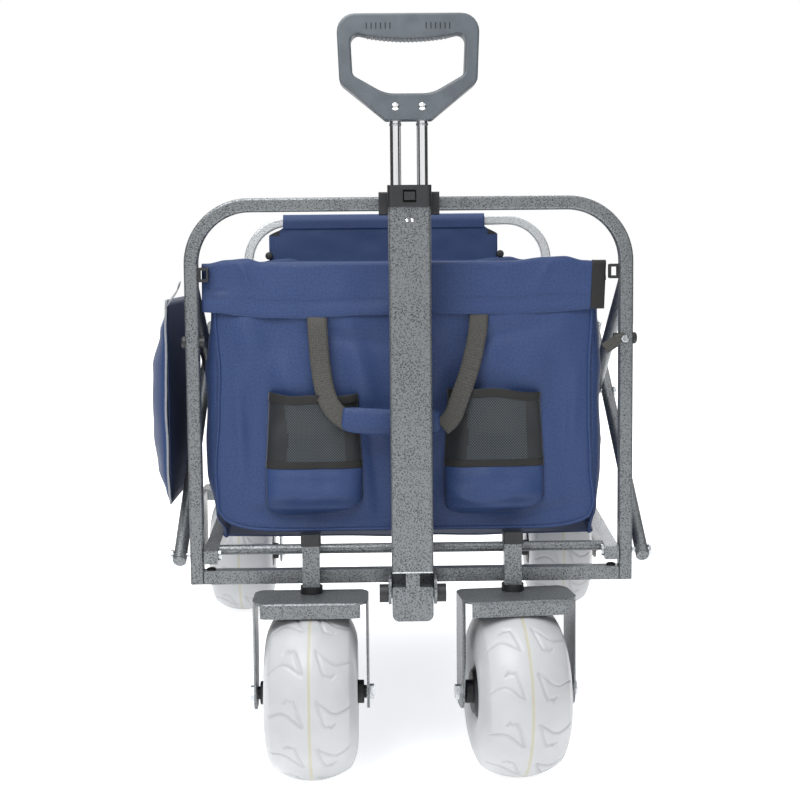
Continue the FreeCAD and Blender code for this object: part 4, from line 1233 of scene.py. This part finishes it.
# %% Screws, rivets and the latch strap
SCREW_X, RIVET_X, RIVET_DROP = 236, 3, 15 * MM
cross_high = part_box("front_cross_tube")[1]
screw_profile = [(0, 5.5), (1.4, 5.5), (2.6, 4.4), (3.2, 2.4), (3.2, 0.5)]
for label, x in (("left", -SCREW_X), ("right", SCREW_X)):
    screw = lathe(f"cross_tube_{label}_screw", screw_profile, (x * MM, FRONT_Y, cross_high.z), (0, 0, 1),
                  black_nylon, "front_frame", 24)
mast_low, mast_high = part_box("mast_tube")
for label, x in (("left", -RIVET_X), ("right", RIVET_X)):
    rivet = lathe(f"mast_{label}_rivet", [(-0.3, 1.9), (0.5, 1.7), (0.9, 0.9), (1.0, 0.2)],
                  (x * MM, MAST_FRONT_Y, mast_high.z - RIVET_DROP), (0, -1, 0), chrome, "mast", 16)
cut_edge = [Vector((x * MM, MAST_FRONT_Y - 0.1 * MM, mast_low.z + 0.8 * MM)) for x in range(-22, 23, 2)]
slab_row("mast_cut_edge", cut_edge, (2.0, 0.5, 1.4), zinc, "mast")
latch = smooth_path([at(228, 2, 494), at(236, -2, 500), at(243, -7.2, 505), at(250, -8.8, 507)], 6)
ribbon("right_latch_strap", latch, 13 * MM, webbing, "front_frame")
latch_nut = lathe("right_latch_nut", [(0, 4.5), (2.2, 4.5), (2.8, 3.6), (2.8, 0.4)], at(250, -9.0, 506),
                  (0, -1, 0), zinc, "front_frame", 6)
print("trim ready")

# %% [markdown]
# ## Studio
# The cart stands on white paper that gives off a little light of its own. Three dark felt flags stand in
# front and at both sides; the camera doesn't see them, but the bright parts mirror them.

# %% Floor and flags of the studio
PAPER_GLOW = 0.62
stage_mesh = bpy.data.meshes.new("studio_floor")
stage_mesh.from_pydata([(-9, -7, 0), (9, -7, 0), (9, 11, 0), (-9, 11, 0)], [], [(0, 1, 2, 3)])
studio_floor = bpy.data.objects.new("studio_floor", stage_mesh)
scene.collection.objects.link(studio_floor)
paper, _, paper_shader = new_material("studio_paper_white", Roughness=0.9)
paper_shader.inputs["Base Color"].default_value = colour("#f4f4f4")
paper_shader.inputs["Emission Color"].default_value = (1, 1, 1, 1)
paper_shader.inputs["Emission Strength"].default_value = PAPER_GLOW
stage_mesh.materials.append(paper)
felt, _, felt_shader = new_material("studio_felt_dark", Roughness=0.95)
felt_shader.inputs["Base Color"].default_value = colour("#2a2a2b")
for name, start, end, high in (("front_curtain", (-5, -4), (5, -4), 0.6),
                               ("left_flag", (-1.7, -1.9), (-1.7, 1.4), 1.5),
                               ("right_flag", (1.7, -1.9), (1.7, 1.4), 1.5)):
    corners = [(*start, 0), (*end, 0), (*end, high), (*start, high)]
    flag = new_piece(name, corners, [(0, 1, 2, 3)], felt, smooth=False)
    flag.visible_camera = False
print("studio ready")
